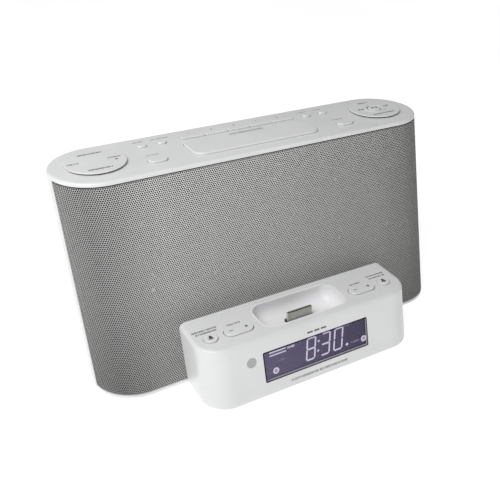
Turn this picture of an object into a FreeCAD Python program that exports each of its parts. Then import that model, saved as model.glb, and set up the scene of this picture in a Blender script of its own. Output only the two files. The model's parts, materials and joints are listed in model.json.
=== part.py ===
import FreeCAD, Part
import math
import os
import Sketcher
from FreeCAD import Placement, Rotation, Vector

# Clock radio: a cabinet of stadium section that leans back, with a dock and display module
# growing out of the foot of its front.  +X runs along the cabinet, -Y is the front, +Z is up.
# The origin is the middle of the bounding box, on the surface that the rubber feet stand on.

SIZES = {
    # cabinet, millimetres and degrees
    "cabinet_width": 300, "cabinet_depth": 67, "cabinet_height": 154, "foot_height": 1.5,
    "lean_angle": 13, "base_y": 3.7, "wall": 2.4, "rim_height": 2.5, "lip_round": 1.8,
    "grille_thick": 0.8, "grille_end": 7, "grille_notch": 150, "baffle_inset": 2.0, "gap": 0.3,
    "seam": 0.1, "bottom_round": 0.8,
    # speakers
    "speaker_x": 78, "speaker_height": 98, "cone_radius": 25, "frame_radius": 36,
    "baffle_hole": 31, "speaker_screw_ring": 33.5, "speaker_screw_hole": 1.5,
    # top controls; the "back" values are measured from the middle line of the top, towards +Y
    "travel": 0.7, "button_rise": 1.3, "flange": 1.2, "flange_thick": 1, "clearance": 0.35,
    "key_round": 0.9, "stem_length": 2, "stem_radius": 1.6, "switch_gap": 0.1,
    "pad_x": 117, "pad_radius": 21, "pad_rise": 1.85, "pad_round": 0.5, "pad_lift": 1.15,
    "pad_neck": 14.3, "pad_hole": 19.8, "pad_bracket": 14.8,
    "pivot_depth": 7.2, "pivot_spacing": 13, "pad_flange_drop": 1.2, "pad_flange": 19.2,
    "ring_inner": 7.5, "ring_outer": 10, "trunnion_reach": 14, "trunnion_radius": 0.9,
    "trunnion_play": 0.08, "centre_radius": 5.2, "centre_play": 1.1,
    "snooze_width": 104, "snooze_depth": 31, "snooze_back": -6.2, "snooze_corner": 9,
    "snooze_round": 1.1, "snooze_stem_x": 34, "snooze_stem_radius": 2.2,
    "preset_width": 18.7, "preset_depth": 5.2, "preset_pitch": 19.2, "preset_back": 15.4,
    "preset_x": -1, "preset_corner": 0.8,
    "key_back": 15, "key_width": 7.4, "key_depth": 6.4,
    "oval_x": 77.8, "oval_back": -14.5, "oval_width": 14, "oval_depth": 9,
    "board_depth": 9.9, "board_thick": 1.6, "board_width": 280, "board_deep": 50,
    "board_corner": 20, "post_radius": 3, "post_pilot": 1.25,
    # dock and display module
    "module_width": 178, "module_reach": 43, "module_height": 45.5, "module_wall": 3,
    "module_corner": 20, "module_round": 3, "module_foot_round": 2,
    "rib_deep": 2.3, "rib_rise": 0.8, "rib_width": 172, "rib_round": 0.6,
    "window_x": -0.5, "window_height": 22.9, "window_width": 89.5, "window_tall": 23.9,
    "window_corner": 1.2, "window_thick": 1.7, "window_inset": 0.1, "lcd_tall": 22,
    "lcd_thick": 2.2, "backlight_thick": 2.4, "lcd_play": 0.2,
    "sensor_x": -54.4, "sensor_height": 30.3, "sensor_radius": 3.7,
    "well_x": -0.4, "well_width": 74, "well_depth": 32.6, "well_drop": 12.5, "well_wall": 1.5,
    "well_y": -43.1, "well_corner": 10.5, "well_scoop": 8,
    "tongue_width": 21.2, "tongue_thick": 2.6, "tongue_top": 41.2, "tongue_seat": 5,
    "round_radius": 5.2, "rocker_width": 22.4, "rocker_depth": 10.6, "rocker_y": -48.8,
    "rocker_pivot": 4.6, "rocker_ear": 7.1, "rocker_pin": 15.4,
    # bottom and back
    "main_board_height": 14.5, "cell_x": -60, "cell_radius": 10, "cell_thick": 3.2,
    "cover_width": 40, "cover_length": 44, "cover_slide": 21, "cover_rail": 1.9,
    "jack_height": 24, "inlet_x": 62, "inlet_hole": 5.3, "audio_x": 84, "audio_hole": 4.3,
    "screw_back": 26, "screw_block": 9, "screw_block_tall": 12, "screw_pilot": 1.45,
    "screw_head_hole": 3.2, "screw_hole": 1.7, "screw_seat": 1.2,
    "vent_x": -22, "vent_pitch": 6, "vent_width": 2.2, "vent_tall": 26, "vent_height": 40,
    "foot_radius": 6, "foot_x": 118, "foot_back": 14, "foot_front_x": 66, "foot_front": 56,
}

SCREW_X = (-104, -31, 31, 104)
VENT_STEPS = range(-4, 5)
LEAN = "tan(sizes.lean_angle)"
TOP_Z = "(sizes.foot_height + sizes.cabinet_height)"
TOP_Y = f"(sizes.base_y + {LEAN} * sizes.cabinet_height)"
COVER_Z = f"({TOP_Z} - sizes.wall)"
RIM_Z = "(sizes.foot_height + sizes.rim_height)"
MODULE_TOP = "(sizes.foot_height + sizes.module_height)"
LEAN_BACK = "90 - sizes.lean_angle"
LEAN_REAR = "-(90 + sizes.lean_angle)"

doc = FreeCAD.newDocument("clock_radio")
sheet = doc.addObject("Spreadsheet::Sheet", "sizes")
for row, (alias, size) in enumerate(SIZES.items(), start=1):
    sheet.set(f"A{row}", alias)
    sheet.set(f"B{row}", str(size))
    sheet.setAlias(f"B{row}", alias)
doc.recompute()

nodes = []


# ---- helpers -------------------------------------------------------------------------------

def number(expression):
    """The present value of an expression, for a sketch's starting geometry."""
    value = sheet.evalExpression(str(expression))
    return float(getattr(value, "Value", value))


def lean_y(height):
    """Y of the cabinet's middle line at a height above the floor."""
    return f"(sizes.base_y + {LEAN} * ({height} - sizes.foot_height))"


def place(item, x=0, y=0, z=0, tilt=None):
    """Bind an object's Placement; tilt is an angle about X in degrees."""
    item.Placement = Placement(Vector(), Rotation(Vector(1, 0, 0), number(tilt or 0)))
    for axis, expression in (("x", x), ("y", y), ("z", z)):
        item.setExpression(f"Placement.Base.{axis}", str(expression))
    if tilt:
        item.setExpression("Placement.Rotation.Angle", tilt)


def new_body(label, **where):
    body = doc.addObject("PartDesign::Body", label)
    body.Label = label
    nodes.append(body)
    place(body, **where)
    return body


def new_sketch(body, x=0, y=0, z=0, plane="XY_Plane", tilt=None):
    """A sketch on one of the body's origin planes, moved by an offset in that plane's axes."""
    sketch = body.newObject("Sketcher::SketchObject", "sketch")
    support = [item for item in body.Origin.OriginFeatures if item.Role == plane][0]
    sketch.AttachmentSupport = [(support, "")]
    sketch.MapMode = "FlatFace"
    turn = Rotation(Vector(1, 0, 0), number(tilt or 0))
    sketch.AttachmentOffset = Placement(Vector(), turn)
    for axis, expression in (("x", x), ("y", y), ("z", z)):
        sketch.setExpression(f"AttachmentOffset.Base.{axis}", str(expression))
    return sketch


def dimension(sketch, kind, *targets):
    """Add a driving dimension whose last target is the expression it is bound to."""
    *geometry, expression = targets
    index = sketch.addConstraint(Sketcher.Constraint(kind, *geometry, number(expression)))
    sketch.setExpression(f"Constraints[{index}]", str(expression))


def circle(sketch, radius):
    """A circle on the sketch's origin."""
    shape = Part.Circle(Vector(), Vector(0, 0, 1), number(radius))
    index = sketch.addGeometry(shape, False)
    sketch.addConstraint(Sketcher.Constraint("Coincident", index, 3, -1, 1))
    dimension(sketch, "Radius", index, radius)
    return sketch


def rectangle(sketch, width, depth):
    """A rectangle centred on the sketch's origin."""
    x, y = number(width) / 2, number(depth) / 2
    corners = [Vector(-x, -y), Vector(x, -y), Vector(x, y), Vector(-x, y)]
    first = sketch.GeometryCount
    for index in range(4):
        sketch.addGeometry(Part.LineSegment(corners[index], corners[(index + 1) % 4]), False)
    for index in range(4):
        following = first + (index + 1) % 4
        sketch.addConstraint(Sketcher.Constraint("Coincident", first + index, 2, following, 1))
        direction = "Vertical" if index % 2 else "Horizontal"
        sketch.addConstraint(Sketcher.Constraint(direction, first + index))
    sketch.addConstraint(Sketcher.Constraint("Symmetric", first, 1, first + 2, 1, -1, 1))
    dimension(sketch, "DistanceX", first, 1, first, 2, width)
    dimension(sketch, "DistanceY", first + 1, 1, first + 1, 2, depth)
    return sketch


def corner_arc(x, y, radius, start):
    middle = Part.Circle(Vector(x, y, 0), Vector(0, 0, 1), radius)
    return Part.ArcOfCircle(middle, math.radians(start), math.radians(start + 90))


def rounded(sketch, width, depth, radius):
    """A rectangle with round corners, centred on the sketch's origin."""
    x, y, r = number(width) / 2, number(depth) / 2, number(radius)
    first = sketch.GeometryCount
    sketch.addGeometry([
        Part.LineSegment(Vector(r - x, -y), Vector(x - r, -y)), corner_arc(x - r, r - y, r, -90),
        Part.LineSegment(Vector(x, r - y), Vector(x, y - r)), corner_arc(x - r, y - r, r, 0),
        Part.LineSegment(Vector(x - r, y), Vector(r - x, y)), corner_arc(r - x, y - r, r, 90),
        Part.LineSegment(Vector(-x, y - r), Vector(-x, r - y)), corner_arc(r - x, r - y, r, 180),
    ], False)
    for index in range(8):
        following = first + (index + 1) % 8
        sketch.addConstraint(Sketcher.Constraint("Tangent", first + index, 2, following, 1))
    for index in (0, 4):
        sketch.addConstraint(Sketcher.Constraint("Horizontal", first + index))
        sketch.addConstraint(Sketcher.Constraint("Vertical", first + index + 2))
    for index in (3, 5, 7):
        sketch.addConstraint(Sketcher.Constraint("Equal", first + 1, first + index))
    sketch.addConstraint(Sketcher.Constraint("Symmetric", first + 7, 3, first + 3, 3, -1, 1))
    dimension(sketch, "DistanceX", first + 6, 1, first + 2, 1, width)
    dimension(sketch, "DistanceY", first, 1, first + 4, 1, depth)
    dimension(sketch, "Radius", first + 1, radius)
    return sketch


def stadium(sketch, width, depth):
    """A slot shape centred on the sketch's origin, its ends half circles."""
    x, r = number(width) / 2 - number(depth) / 2, number(depth) / 2
    first = sketch.GeometryCount
    right = Part.Circle(Vector(x, 0, 0), Vector(0, 0, 1), r)
    left = Part.Circle(Vector(-x, 0, 0), Vector(0, 0, 1), r)
    sketch.addGeometry([
        Part.LineSegment(Vector(-x, -r), Vector(x, -r)),
        Part.ArcOfCircle(right, -math.pi / 2, math.pi / 2),
        Part.LineSegment(Vector(x, r), Vector(-x, r)),
        Part.ArcOfCircle(left, math.pi / 2, 3 * math.pi / 2),
    ], False)
    for index in range(4):
        following = first + (index + 1) % 4
        sketch.addConstraint(Sketcher.Constraint("Tangent", first + index, 2, following, 1))
    sketch.addConstraint(Sketcher.Constraint("Equal", first + 1, first + 3))
    sketch.addConstraint(Sketcher.Constraint("Horizontal", first))
    sketch.addConstraint(Sketcher.Constraint("Symmetric", first + 3, 3, first + 1, 3, -1, 1))
    dimension(sketch, "DistanceX", first + 3, 3, first + 1, 3, f"({width}) - ({depth})")
    dimension(sketch, "Radius", first + 1, f"({depth}) / 2")
    return sketch


def profile(sketch, points):
    """A closed outline of straight runs; each point is a pair of expressions."""
    corners = [Vector(number(x), number(y), 0) for x, y in points]
    for index, corner in enumerate(corners):
        after = corners[(index + 1) % len(corners)]
        sketch.addGeometry(Part.LineSegment(corner, after), False)
    for index, (x, y) in enumerate(points):
        following = (index + 1) % len(points)
        sketch.addConstraint(Sketcher.Constraint("Coincident", index, 2, following, 1))
        dimension(sketch, "DistanceX", -1, 1, index, 1, x)
        dimension(sketch, "DistanceY", -1, 1, index, 1, y)
    return sketch


def leaning(feature):
    """Extrude along the cabinet's lean, with the length still measured straight up."""
    feature.UseCustomVector = True
    feature.Direction = Vector(0, number(LEAN), 1)
    feature.setExpression("Direction.y", LEAN)
    feature.AlongSketchNormal = True


def pad(body, sketch, length, lean=False, down=False, middle=False):
    feature = body.newObject("PartDesign::Pad", "pad")
    feature.Profile = sketch
    feature.setExpression("Length", str(length))
    if lean:
        leaning(feature)
    feature.Reversed = down
    feature.Midplane = middle
    return feature


def pocket(body, sketch, depth, lean=False, up=False, middle=False):
    """Cut downwards from the sketch, or upwards; the cut has to remove material."""
    doc.recompute()
    before = body.Shape.Volume
    feature = body.newObject("PartDesign::Pocket", "pocket")
    feature.Profile = sketch
    feature.setExpression("Length", str(depth))
    if lean:
        leaning(feature)
        up = not up
    feature.Reversed = up
    feature.Midplane = middle
    doc.recompute()
    if not body.Shape.Volume < before - 0.01:
        raise RuntimeError(f"{body.Label}: a pocket removes nothing")
    return feature


def revolve(body, sketch):
    """Turn a profile drawn on the body's XZ plane about its Z axis."""
    feature = body.newObject("PartDesign::Revolution", "revolution")
    feature.Profile = sketch
    feature.ReferenceAxis = (sketch, ["V_Axis"])
    feature.Angle = 360
    return feature


def edges_at(shape, height):
    """Names of the edges that lie level at a height in the body's own frame."""
    level = number(height)
    names = []
    for index, edge in enumerate(shape.Edges, start=1):
        box = edge.BoundBox
        if abs(box.ZMin - level) < 1e-3 and abs(box.ZMax - level) < 1e-3:
            names.append(f"Edge{index}")
    return names


def fillet(body, height, radius, choose=None):
    """Round the level edges at a height, or those of them that choose accepts."""
    doc.recompute()
    base = body.Tip
    names = edges_at(base.Shape, height)
    if choose:
        names = [name for name in names if choose(base.Shape.getElement(name))]
    feature = body.newObject("PartDesign::Fillet", "fillet")
    feature.Base = (base, names)
    feature.setExpression("Radius", str(radius))
    return feature


# ---- cabinet -------------------------------------------------------------------------------

def cabinet_outline(sketch, inset):
    return stadium(sketch, f"(sizes.cabinet_width - 2 * {inset})",
                   f"(sizes.cabinet_depth - 2 * {inset})")


def cabinet_band(label, outer_inset, inner_inset, bottom, top):
    """A leaning wall that follows the cabinet's outline between two insets."""
    body = new_body(label, y=lean_y(bottom), z=bottom)
    sketch = cabinet_outline(new_sketch(body), outer_inset)
    cabinet_outline(sketch, inner_inset)
    pad(body, sketch, f"{top} - {bottom}", lean=True)
    return body


def keep_side(body, height, line, front):
    """Cut a leaning band away on one side of the line y = line."""
    reach = "sizes.cabinet_depth"
    middle = f"({line} + {reach} / 2)" if front else f"({line} - {reach} / 2)"
    sketch = rectangle(new_sketch(body, y=middle, z=-1), "sizes.cabinet_width + 20", reach)
    pocket(body, sketch, f"{height} + 2", lean=True, up=True)


def face_sketch(body, bottom, x, height):
    """A sketch on the plane of the leaning front, for a body standing at height bottom."""
    face = f"(sizes.cabinet_depth / 2 - {LEAN} * ({height} - {bottom}))"
    return new_sketch(body, x=x, y=f"({height} - {bottom})", z=face, plane="XZ_Plane",
                      tilt="-sizes.lean_angle")


def make_rear_shell():
    height = f"({COVER_Z} - {RIM_Z})"
    body = cabinet_band("rear_shell", "0", "sizes.wall", RIM_Z, COVER_Z)
    keep_side(body, height, "(-sizes.grille_end)", front=False)
    for x in SCREW_X:
        block = new_sketch(body, x=x, y="(sizes.screw_back + 1)")
        pad(body, rectangle(block, "sizes.screw_block", "(sizes.screw_block + 1)"),
            "sizes.screw_block_tall", lean=True)
        level = f"(sizes.screw_back - {LEAN} * sizes.rim_height)"
        hole = circle(new_sketch(body, x=x, y=level, z=-1), "sizes.screw_pilot")
        pocket(body, hole, "(sizes.screw_block_tall - 1)", up=True)
    for x, radius in (("sizes.inlet_x", "sizes.inlet_hole"), ("sizes.audio_x", "sizes.audio_hole")):
        rise = f"(sizes.foot_height + sizes.jack_height - {RIM_Z})"
        pocket(body, circle(back_sketch(body, x, rise), radius), CUT_THROUGH, up=True)
    for step in VENT_STEPS:
        vent = back_sketch(body, f"(sizes.vent_x + {step} * sizes.vent_pitch)", "sizes.vent_height")
        pocket(body, rounded(vent, "sizes.vent_width", "sizes.vent_tall", "(sizes.vent_width / 2.1)"),
               CUT_THROUGH, up=True)
    return body


CUT_THROUGH = 12
BEHIND = 3


def back_sketch(body, x, rise):
    """A sketch parallel to the leaning back and just behind it, at a rise above the rim."""
    back = f"(-sizes.cabinet_depth / 2 - {LEAN} * {rise} - {BEHIND})"
    return new_sketch(body, x=x, y=f"({rise} - {BEHIND} * {LEAN})", z=back, plane="XZ_Plane",
                      tilt="-sizes.lean_angle")


def make_base_plate():
    body = new_body("base_plate", y="sizes.base_y", z="sizes.foot_height")
    pad(body, cabinet_outline(new_sketch(body), "0"), "sizes.rim_height", lean=True)
    fillet(body, 0, "sizes.bottom_round")
    length = "(sizes.cover_length + sizes.cover_slide)"
    middle = f"(sizes.cabinet_depth / 2 + sizes.cover_slide - 1 - {length} / 2)"
    mouth = rectangle(new_sketch(body, x="sizes.cell_x", y=middle, z=-1),
                      "(sizes.cover_width + 2 * sizes.gap)", length)
    pocket(body, mouth, 1.9, up=True)
    rails = rectangle(new_sketch(body, x="sizes.cell_x", y=middle, z=0.9),
                      "(sizes.cover_width + 2 * (sizes.cover_rail + sizes.gap))", length)
    pocket(body, rails, 0.8, up=True)
    opening = circle(new_sketch(body, x="sizes.cell_x", z=0), "sizes.cell_radius + 1.2")
    pocket(body, opening, 5, up=True, middle=True)
    for x in SCREW_X:
        for radius, depth in (("sizes.screw_head_hole", "(sizes.screw_seat + 1)"),
                              ("sizes.screw_hole", 5)):
            hole = circle(new_sketch(body, x=x, y="sizes.screw_back", z=-1), radius)
            pocket(body, hole, depth, up=True)
    return body


def make_top_cover():
    body = new_body("top_cover", y=TOP_Y, z=TOP_Z)
    pad(body, cabinet_outline(new_sketch(body, y=f"(-{LEAN} * sizes.wall)", z="-sizes.wall"), "0"),
        "sizes.wall", lean=True)
    fillet(body, 0, "sizes.lip_round")
    for side in (-1, 1):
        hole = new_sketch(body, x=f"{side} * sizes.pad_x")
        pocket(body, circle(hole, "sizes.pad_hole"), 3)
        hole = new_sketch(body, x=f"{side} * sizes.oval_x", y="sizes.oval_back")
        pocket(body, stadium(hole, *grown("sizes.oval_width", "sizes.oval_depth")), 3)
    for x in KEY_X.values():
        hole = stadium(new_sketch(body, x=x, y="sizes.key_back"),
                       *grown("sizes.key_width", "sizes.key_depth"))
        pocket(body, hole, 3)
    hole = new_sketch(body, y="sizes.snooze_back")
    pocket(body, rounded(hole, *grown("sizes.snooze_width", "sizes.snooze_depth"),
                         "(sizes.snooze_corner + sizes.clearance)"), 3)
    hole = new_sketch(body, x="sizes.preset_x", y="sizes.preset_back")
    strip = "(4 * sizes.preset_pitch + sizes.preset_width)"
    pocket(body, rounded(hole, *grown(strip, "sizes.preset_depth"),
                         "(sizes.preset_corner + sizes.clearance)"), 3)
    for x, y in BOARD_POSTS:
        post = circle(new_sketch(body, x=x, y=y, z="-sizes.wall"), "sizes.post_radius")
        pad(body, post, "(sizes.board_depth - sizes.wall)", down=True)
        pilot = circle(new_sketch(body, x=x, y=y, z="-sizes.board_depth"), "sizes.post_pilot")
        pocket(body, pilot, 5.5, up=True)
    return body


def grown(width, depth):
    """A cap's outline sizes grown to those of the hole that it moves in."""
    return f"({width} + 2 * sizes.clearance)", f"({depth} + 2 * sizes.clearance)"


def make_grille():
    body = cabinet_band("front_grille", "0", "sizes.grille_thick", f"({RIM_Z} + sizes.seam)",
                        f"({COVER_Z} - sizes.seam)")
    keep_side(body, "sizes.cabinet_height", "(-sizes.grille_end - 0.15)", front=True)
    notch = rectangle(new_sketch(body, y="(-sizes.cabinet_depth / 2)", z=-1),
                      "sizes.grille_notch", 20)
    pocket(body, notch, "(sizes.module_height - 6)", lean=True, up=True)
    return body


def make_baffle():
    bottom = f"({RIM_Z} + sizes.seam)"
    inner = "(sizes.baffle_inset + sizes.wall)"
    body = cabinet_band("speaker_baffle", "sizes.baffle_inset", inner, bottom,
                        f"({COVER_Z} - sizes.seam)")
    keep_side(body, "sizes.cabinet_height", "(-sizes.grille_end - 3)", front=True)
    notch = rectangle(new_sketch(body, y="(-sizes.cabinet_depth / 2)", z=-1),
                      "(sizes.grille_notch - 30)", 20)
    pocket(body, notch, 28, lean=True, up=True)
    ring = "sizes.speaker_screw_ring"
    for side in (-1, 1):
        x = f"{side} * sizes.speaker_x"
        hole = face_sketch(body, bottom, x, SPEAKER_Z)
        pocket(body, circle(hole, "sizes.baffle_hole"), CUT_THROUGH)
        for turn in SCREW_TURNS:
            across = f"({x} + {ring} * cos({turn}))"
            level = f"({SPEAKER_Z} + {ring} * sin({turn}) * cos(sizes.lean_angle))"
            hole = face_sketch(body, bottom, across, level)
            pocket(body, circle(hole, "sizes.speaker_screw_hole"), CUT_THROUGH)
    return body


# ---- speakers ------------------------------------------------------------------------------

SPEAKER_Z = "(sizes.foot_height + sizes.speaker_height)"
SCREW_TURNS = (45, 135, 225, 315)
BAFFLE_BACK = "((sizes.baffle_inset + sizes.wall) * cos(sizes.lean_angle) + 0.05)"


def speaker_body(label, side):
    """A body whose Z axis is the speaker's, with zero at the front of its flange."""
    y = f"({lean_y(SPEAKER_Z)} - sizes.cabinet_depth / 2 + {BAFFLE_BACK} * cos(sizes.lean_angle))"
    z = f"({SPEAKER_Z} - {BAFFLE_BACK} * sin(sizes.lean_angle))"
    return new_body(label, x=f"{side} * sizes.speaker_x", y=y, z=z, tilt=LEAN_BACK)


def turned(body, points):
    revolve(body, profile(new_sketch(body, plane="XZ_Plane"), points))
    return body


def make_speaker(name, side):
    frame = turned(speaker_body(f"speaker_frame_{name}", side), [
        (29, 0), ("sizes.frame_radius", 0), ("sizes.frame_radius", -1.5), (30.4, -1.5),
        (18.4, -17.5), (8.2, -17.5), (8.2, -16), (17.4, -16), (29, -1.5)])
    window = circle(new_sketch(frame, x=23.6), 4.2)
    cut = pocket(frame, window, 40, middle=True)
    pattern = frame.newObject("PartDesign::PolarPattern", "windows")
    pattern.Originals = [cut]
    pattern.Axis = (origin_axis(frame, "Z_Axis"), [""])
    pattern.Angle = 360
    pattern.Occurrences = 8
    frame.Tip = pattern
    for turn in SCREW_TURNS:
        spot = new_sketch(frame, x=f"sizes.speaker_screw_ring * cos({turn})",
                          y=f"sizes.speaker_screw_ring * sin({turn})")
        pocket(frame, circle(spot, "sizes.speaker_screw_hole"), 4)

    turned(speaker_body(f"speaker_surround_{name}", side), [
        ("sizes.cone_radius + 0.4", -1.6), ("sizes.cone_radius + 1.4", -0.2),
        ("sizes.cone_radius + 2.6", -0.2), (28.7, -0.7), (28.7, -1.4),
        ("sizes.cone_radius + 2.4", -1.0), ("sizes.cone_radius + 1.6", -1.0),
        ("sizes.cone_radius + 0.4", -2.4)])
    turned(speaker_body(f"speaker_magnet_{name}", side), [
        (0, -30), (17.5, -30), (17.5, -27.2), (19.5, -27.2), (19.5, -19.4), (17.5, -19.4),
        (17.5, -17.6), (7.4, -17.6), (7.4, -27.2), (5.8, -27.2), (5.8, -17.8), (0, -17.8)])
    turned(speaker_body(f"speaker_cone_{name}", side), [
        ("sizes.cone_radius", -1.8), ("sizes.cone_radius", -2.6), (7.2, -13.6), (6.9, -24.5),
        (6.3, -24.5), (6.3, -12.6), (3.2, -10.4), (0, -9.9), (0, -9.0), (3.6, -9.6),
        (7.4, -12.4)])


def origin_axis(body, role):
    return [item for item in body.Origin.OriginFeatures if item.Role == role][0]


# ---- caps and pads on the top --------------------------------------------------------------

KEY_X = {"top_key_alarm_set": "-79.3", "top_key_sleep": "-64", "top_key_clock": "60",
         "top_key_band": "75.5"}
BOARD_POSTS = [(-91, 20), (-91, -20), (91, 20), (91, -20), (-60, -22), (60, -22)]
FLANGE_TOP = "(-sizes.wall - sizes.gap)"
FLANGE_BOTTOM = f"({FLANGE_TOP} - sizes.flange_thick)"
STEM_BOTTOM = f"({FLANGE_BOTTOM} - sizes.stem_length)"
SWITCH_TOP = f"({STEM_BOTTOM} - sizes.travel - sizes.switch_gap)"
PAD_SWITCH_TOP = -5.9
PAD_SWITCH_RING = 18.6


def press_cap(label, x, y, z, outline, width, depth, *corner):
    """A key cap: a rounded top, a flange that keeps it under the cover, and a stem."""
    body = new_body(label, x=x, y=y, z=z)
    shape = outline(new_sketch(body, z=FLANGE_TOP), width, depth, *corner)
    pad(body, shape, f"(sizes.button_rise - {FLANGE_TOP})")
    fillet(body, "sizes.button_rise", "sizes.key_round")
    wide, deep = f"({width} + 2 * sizes.flange)", f"({depth} + 2 * sizes.flange)"
    foot = outline(new_sketch(body, z=FLANGE_BOTTOM), wide, deep, *corner)
    pad(body, foot, "sizes.flange_thick")
    stem(body, 0, "sizes.stem_radius")


def stem(body, x, radius):
    """The peg under a key that pushes its switch."""
    pad(body, circle(new_sketch(body, x=x, z=STEM_BOTTOM), radius), "sizes.stem_length")


def make_top_keys():
    for name, x in KEY_X.items():
        press_cap(name, x, f"({TOP_Y} + sizes.key_back)", TOP_Z, stadium, "sizes.key_width",
                  "sizes.key_depth")
    for name, side in (("oval_key_left", -1), ("oval_key_right", 1)):
        press_cap(name, f"{side} * sizes.oval_x", f"({TOP_Y} + sizes.oval_back)", TOP_Z, stadium,
                  "sizes.oval_width", "sizes.oval_depth")
    for index in range(5):
        make_preset_key(index)
    make_snooze_bar()


def make_preset_key(index):
    """One of five keys in a row; the flange reaches out only to the front and back."""
    x = f"(sizes.preset_x + {index - 2} * sizes.preset_pitch)"
    body = new_body(f"preset_key_{index + 1}", x=x, y=f"({TOP_Y} + sizes.preset_back)", z=TOP_Z)
    shape = rounded(new_sketch(body, z=FLANGE_TOP), "sizes.preset_width", "sizes.preset_depth",
                    "sizes.preset_corner")
    pad(body, shape, f"(sizes.button_rise - {FLANGE_TOP})")
    fillet(body, "sizes.button_rise", "(sizes.preset_corner - 0.1)")
    foot = rectangle(new_sketch(body, z=FLANGE_BOTTOM), "sizes.preset_width",
                     "sizes.preset_depth + 2")
    pad(body, foot, "sizes.flange_thick")
    stem(body, 0, "sizes.stem_radius")


def make_snooze_bar():
    body = new_body("snooze_bar", y=f"({TOP_Y} + sizes.snooze_back)", z=TOP_Z)
    shape = rounded(new_sketch(body, z=FLANGE_TOP), "sizes.snooze_width", "sizes.snooze_depth",
                    "sizes.snooze_corner")
    pad(body, shape, f"(sizes.button_rise - {FLANGE_TOP})")
    fillet(body, "sizes.button_rise", "sizes.snooze_round")
    foot = rounded(new_sketch(body, z=FLANGE_BOTTOM), "sizes.snooze_width + 2",
                   "sizes.snooze_depth + 1.6", "sizes.snooze_corner + 0.5")
    pad(body, foot, "sizes.flange_thick")
    for side in (-1, 1):
        stem(body, f"({side} * sizes.snooze_stem_x)", "sizes.snooze_stem_radius")


def make_pad(name, side, with_button):
    """A four-way pad: a cap over the cover, a neck through it and a flange over the switches.

    It rocks on a gimbal ring, which rocks in a bracket on the key board.
    """
    where = {"x": f"{side} * sizes.pad_x", "y": TOP_Y, "z": TOP_Z}
    body = new_body(f"{name}_pad", **where)
    drop = "sizes.pad_flange_drop"
    pad(body, circle(new_sketch(body, z="sizes.pad_lift"), "sizes.pad_radius"),
        "(sizes.pad_rise - sizes.pad_lift)")
    fillet(body, "sizes.pad_rise", "sizes.pad_round")
    foot = f"(-sizes.wall - 2 * {drop})"
    pad(body, circle(new_sketch(body, z=foot), "sizes.pad_neck"), f"(sizes.pad_rise - {foot})")
    pad(body, circle(new_sketch(body, z=foot), "sizes.pad_flange"), drop)
    for turn in (-1, 1):
        lug = new_sketch(body, y=f"{turn} * sizes.pivot_spacing", z="(-sizes.pivot_depth - 1.4)")
        pad(body, rectangle(lug, 4, 2), "(sizes.pivot_depth - sizes.wall)")
    if with_button:
        ring = circle(new_sketch(body, z="sizes.pad_rise - 0.1"), 9.4)
        pad(body, circle(ring, 7), 0.5)
        pocket(body, circle(new_sketch(body, z=3), "sizes.centre_radius + sizes.centre_play"), 13)
    bore = new_sketch(body, y="-sizes.pivot_depth", plane="XZ_Plane")
    pocket(body, circle(bore, "(sizes.trunnion_radius + sizes.trunnion_play)"), 40, middle=True)

    gimbal = new_body(f"{name}_gimbal", x=where["x"], y=TOP_Y, z=f"({TOP_Z} - sizes.pivot_depth)")
    pad(gimbal, circle(new_sketch(gimbal), "sizes.ring_outer"), 2.2, middle=True)
    for plane in ("YZ_Plane", "XZ_Plane"):
        pin = circle(new_sketch(gimbal, plane=plane), "sizes.trunnion_radius")
        pad(gimbal, pin, "(2 * sizes.trunnion_reach)", middle=True)
    pocket(gimbal, circle(new_sketch(gimbal), "sizes.ring_inner"), 6, middle=True)


def make_pad_brackets():
    """Two pivot brackets, one under each pad, each a plate with two eared posts."""
    left = bracket_body("pad_bracket_left", -1)
    right = bracket_body("pad_bracket_right", 1)
    nodes.remove(left)
    nodes.remove(right)
    both = doc.addObject("Part::Compound", "pad_brackets")
    both.Label = "pad_brackets"
    both.Links = [left, right]
    nodes.append(both)


def bracket_body(label, side):
    body = new_body(label, x=f"{side} * sizes.pad_x", y=TOP_Y, z=f"({TOP_Z} - sizes.board_depth)")
    plate = circle(new_sketch(body), "sizes.pad_bracket")
    pad(body, circle(plate, 11.4), 0.7)
    for turn in (-1, 1):
        post = rectangle(new_sketch(body, x=f"{turn} * sizes.pivot_spacing"), 2, 4)
        pad(body, post, "(sizes.board_depth - sizes.pivot_depth + 1.6)")
    bore = new_sketch(body, y="(sizes.board_depth - sizes.pivot_depth)", plane="YZ_Plane")
    pocket(body, circle(bore, "(sizes.trunnion_radius + sizes.trunnion_play)"), 40, middle=True)
    return body


def make_centre_button():
    body = new_body("right_pad_button", x="sizes.pad_x", y=TOP_Y, z=TOP_Z)
    pad(body, circle(new_sketch(body, z=-5.2), "sizes.centre_radius"), "(sizes.pad_rise + 5.6)")
    fillet(body, "(sizes.pad_rise + 0.4)", 0.6)
    pad(body, circle(new_sketch(body, z=STEM_BOTTOM), 2), 1)
    return body


def make_key_board():
    body = new_body("key_board", y=TOP_Y, z=f"({TOP_Z} - sizes.board_depth)")
    pad(body, rounded(new_sketch(body, y=-2), "sizes.board_width", "sizes.board_deep",
                      "sizes.board_corner"), "sizes.board_thick", down=True)
    for x, y in BOARD_POSTS:
        pocket(body, circle(new_sketch(body, x=x, y=y), 1.5), 3)
    return body


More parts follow.
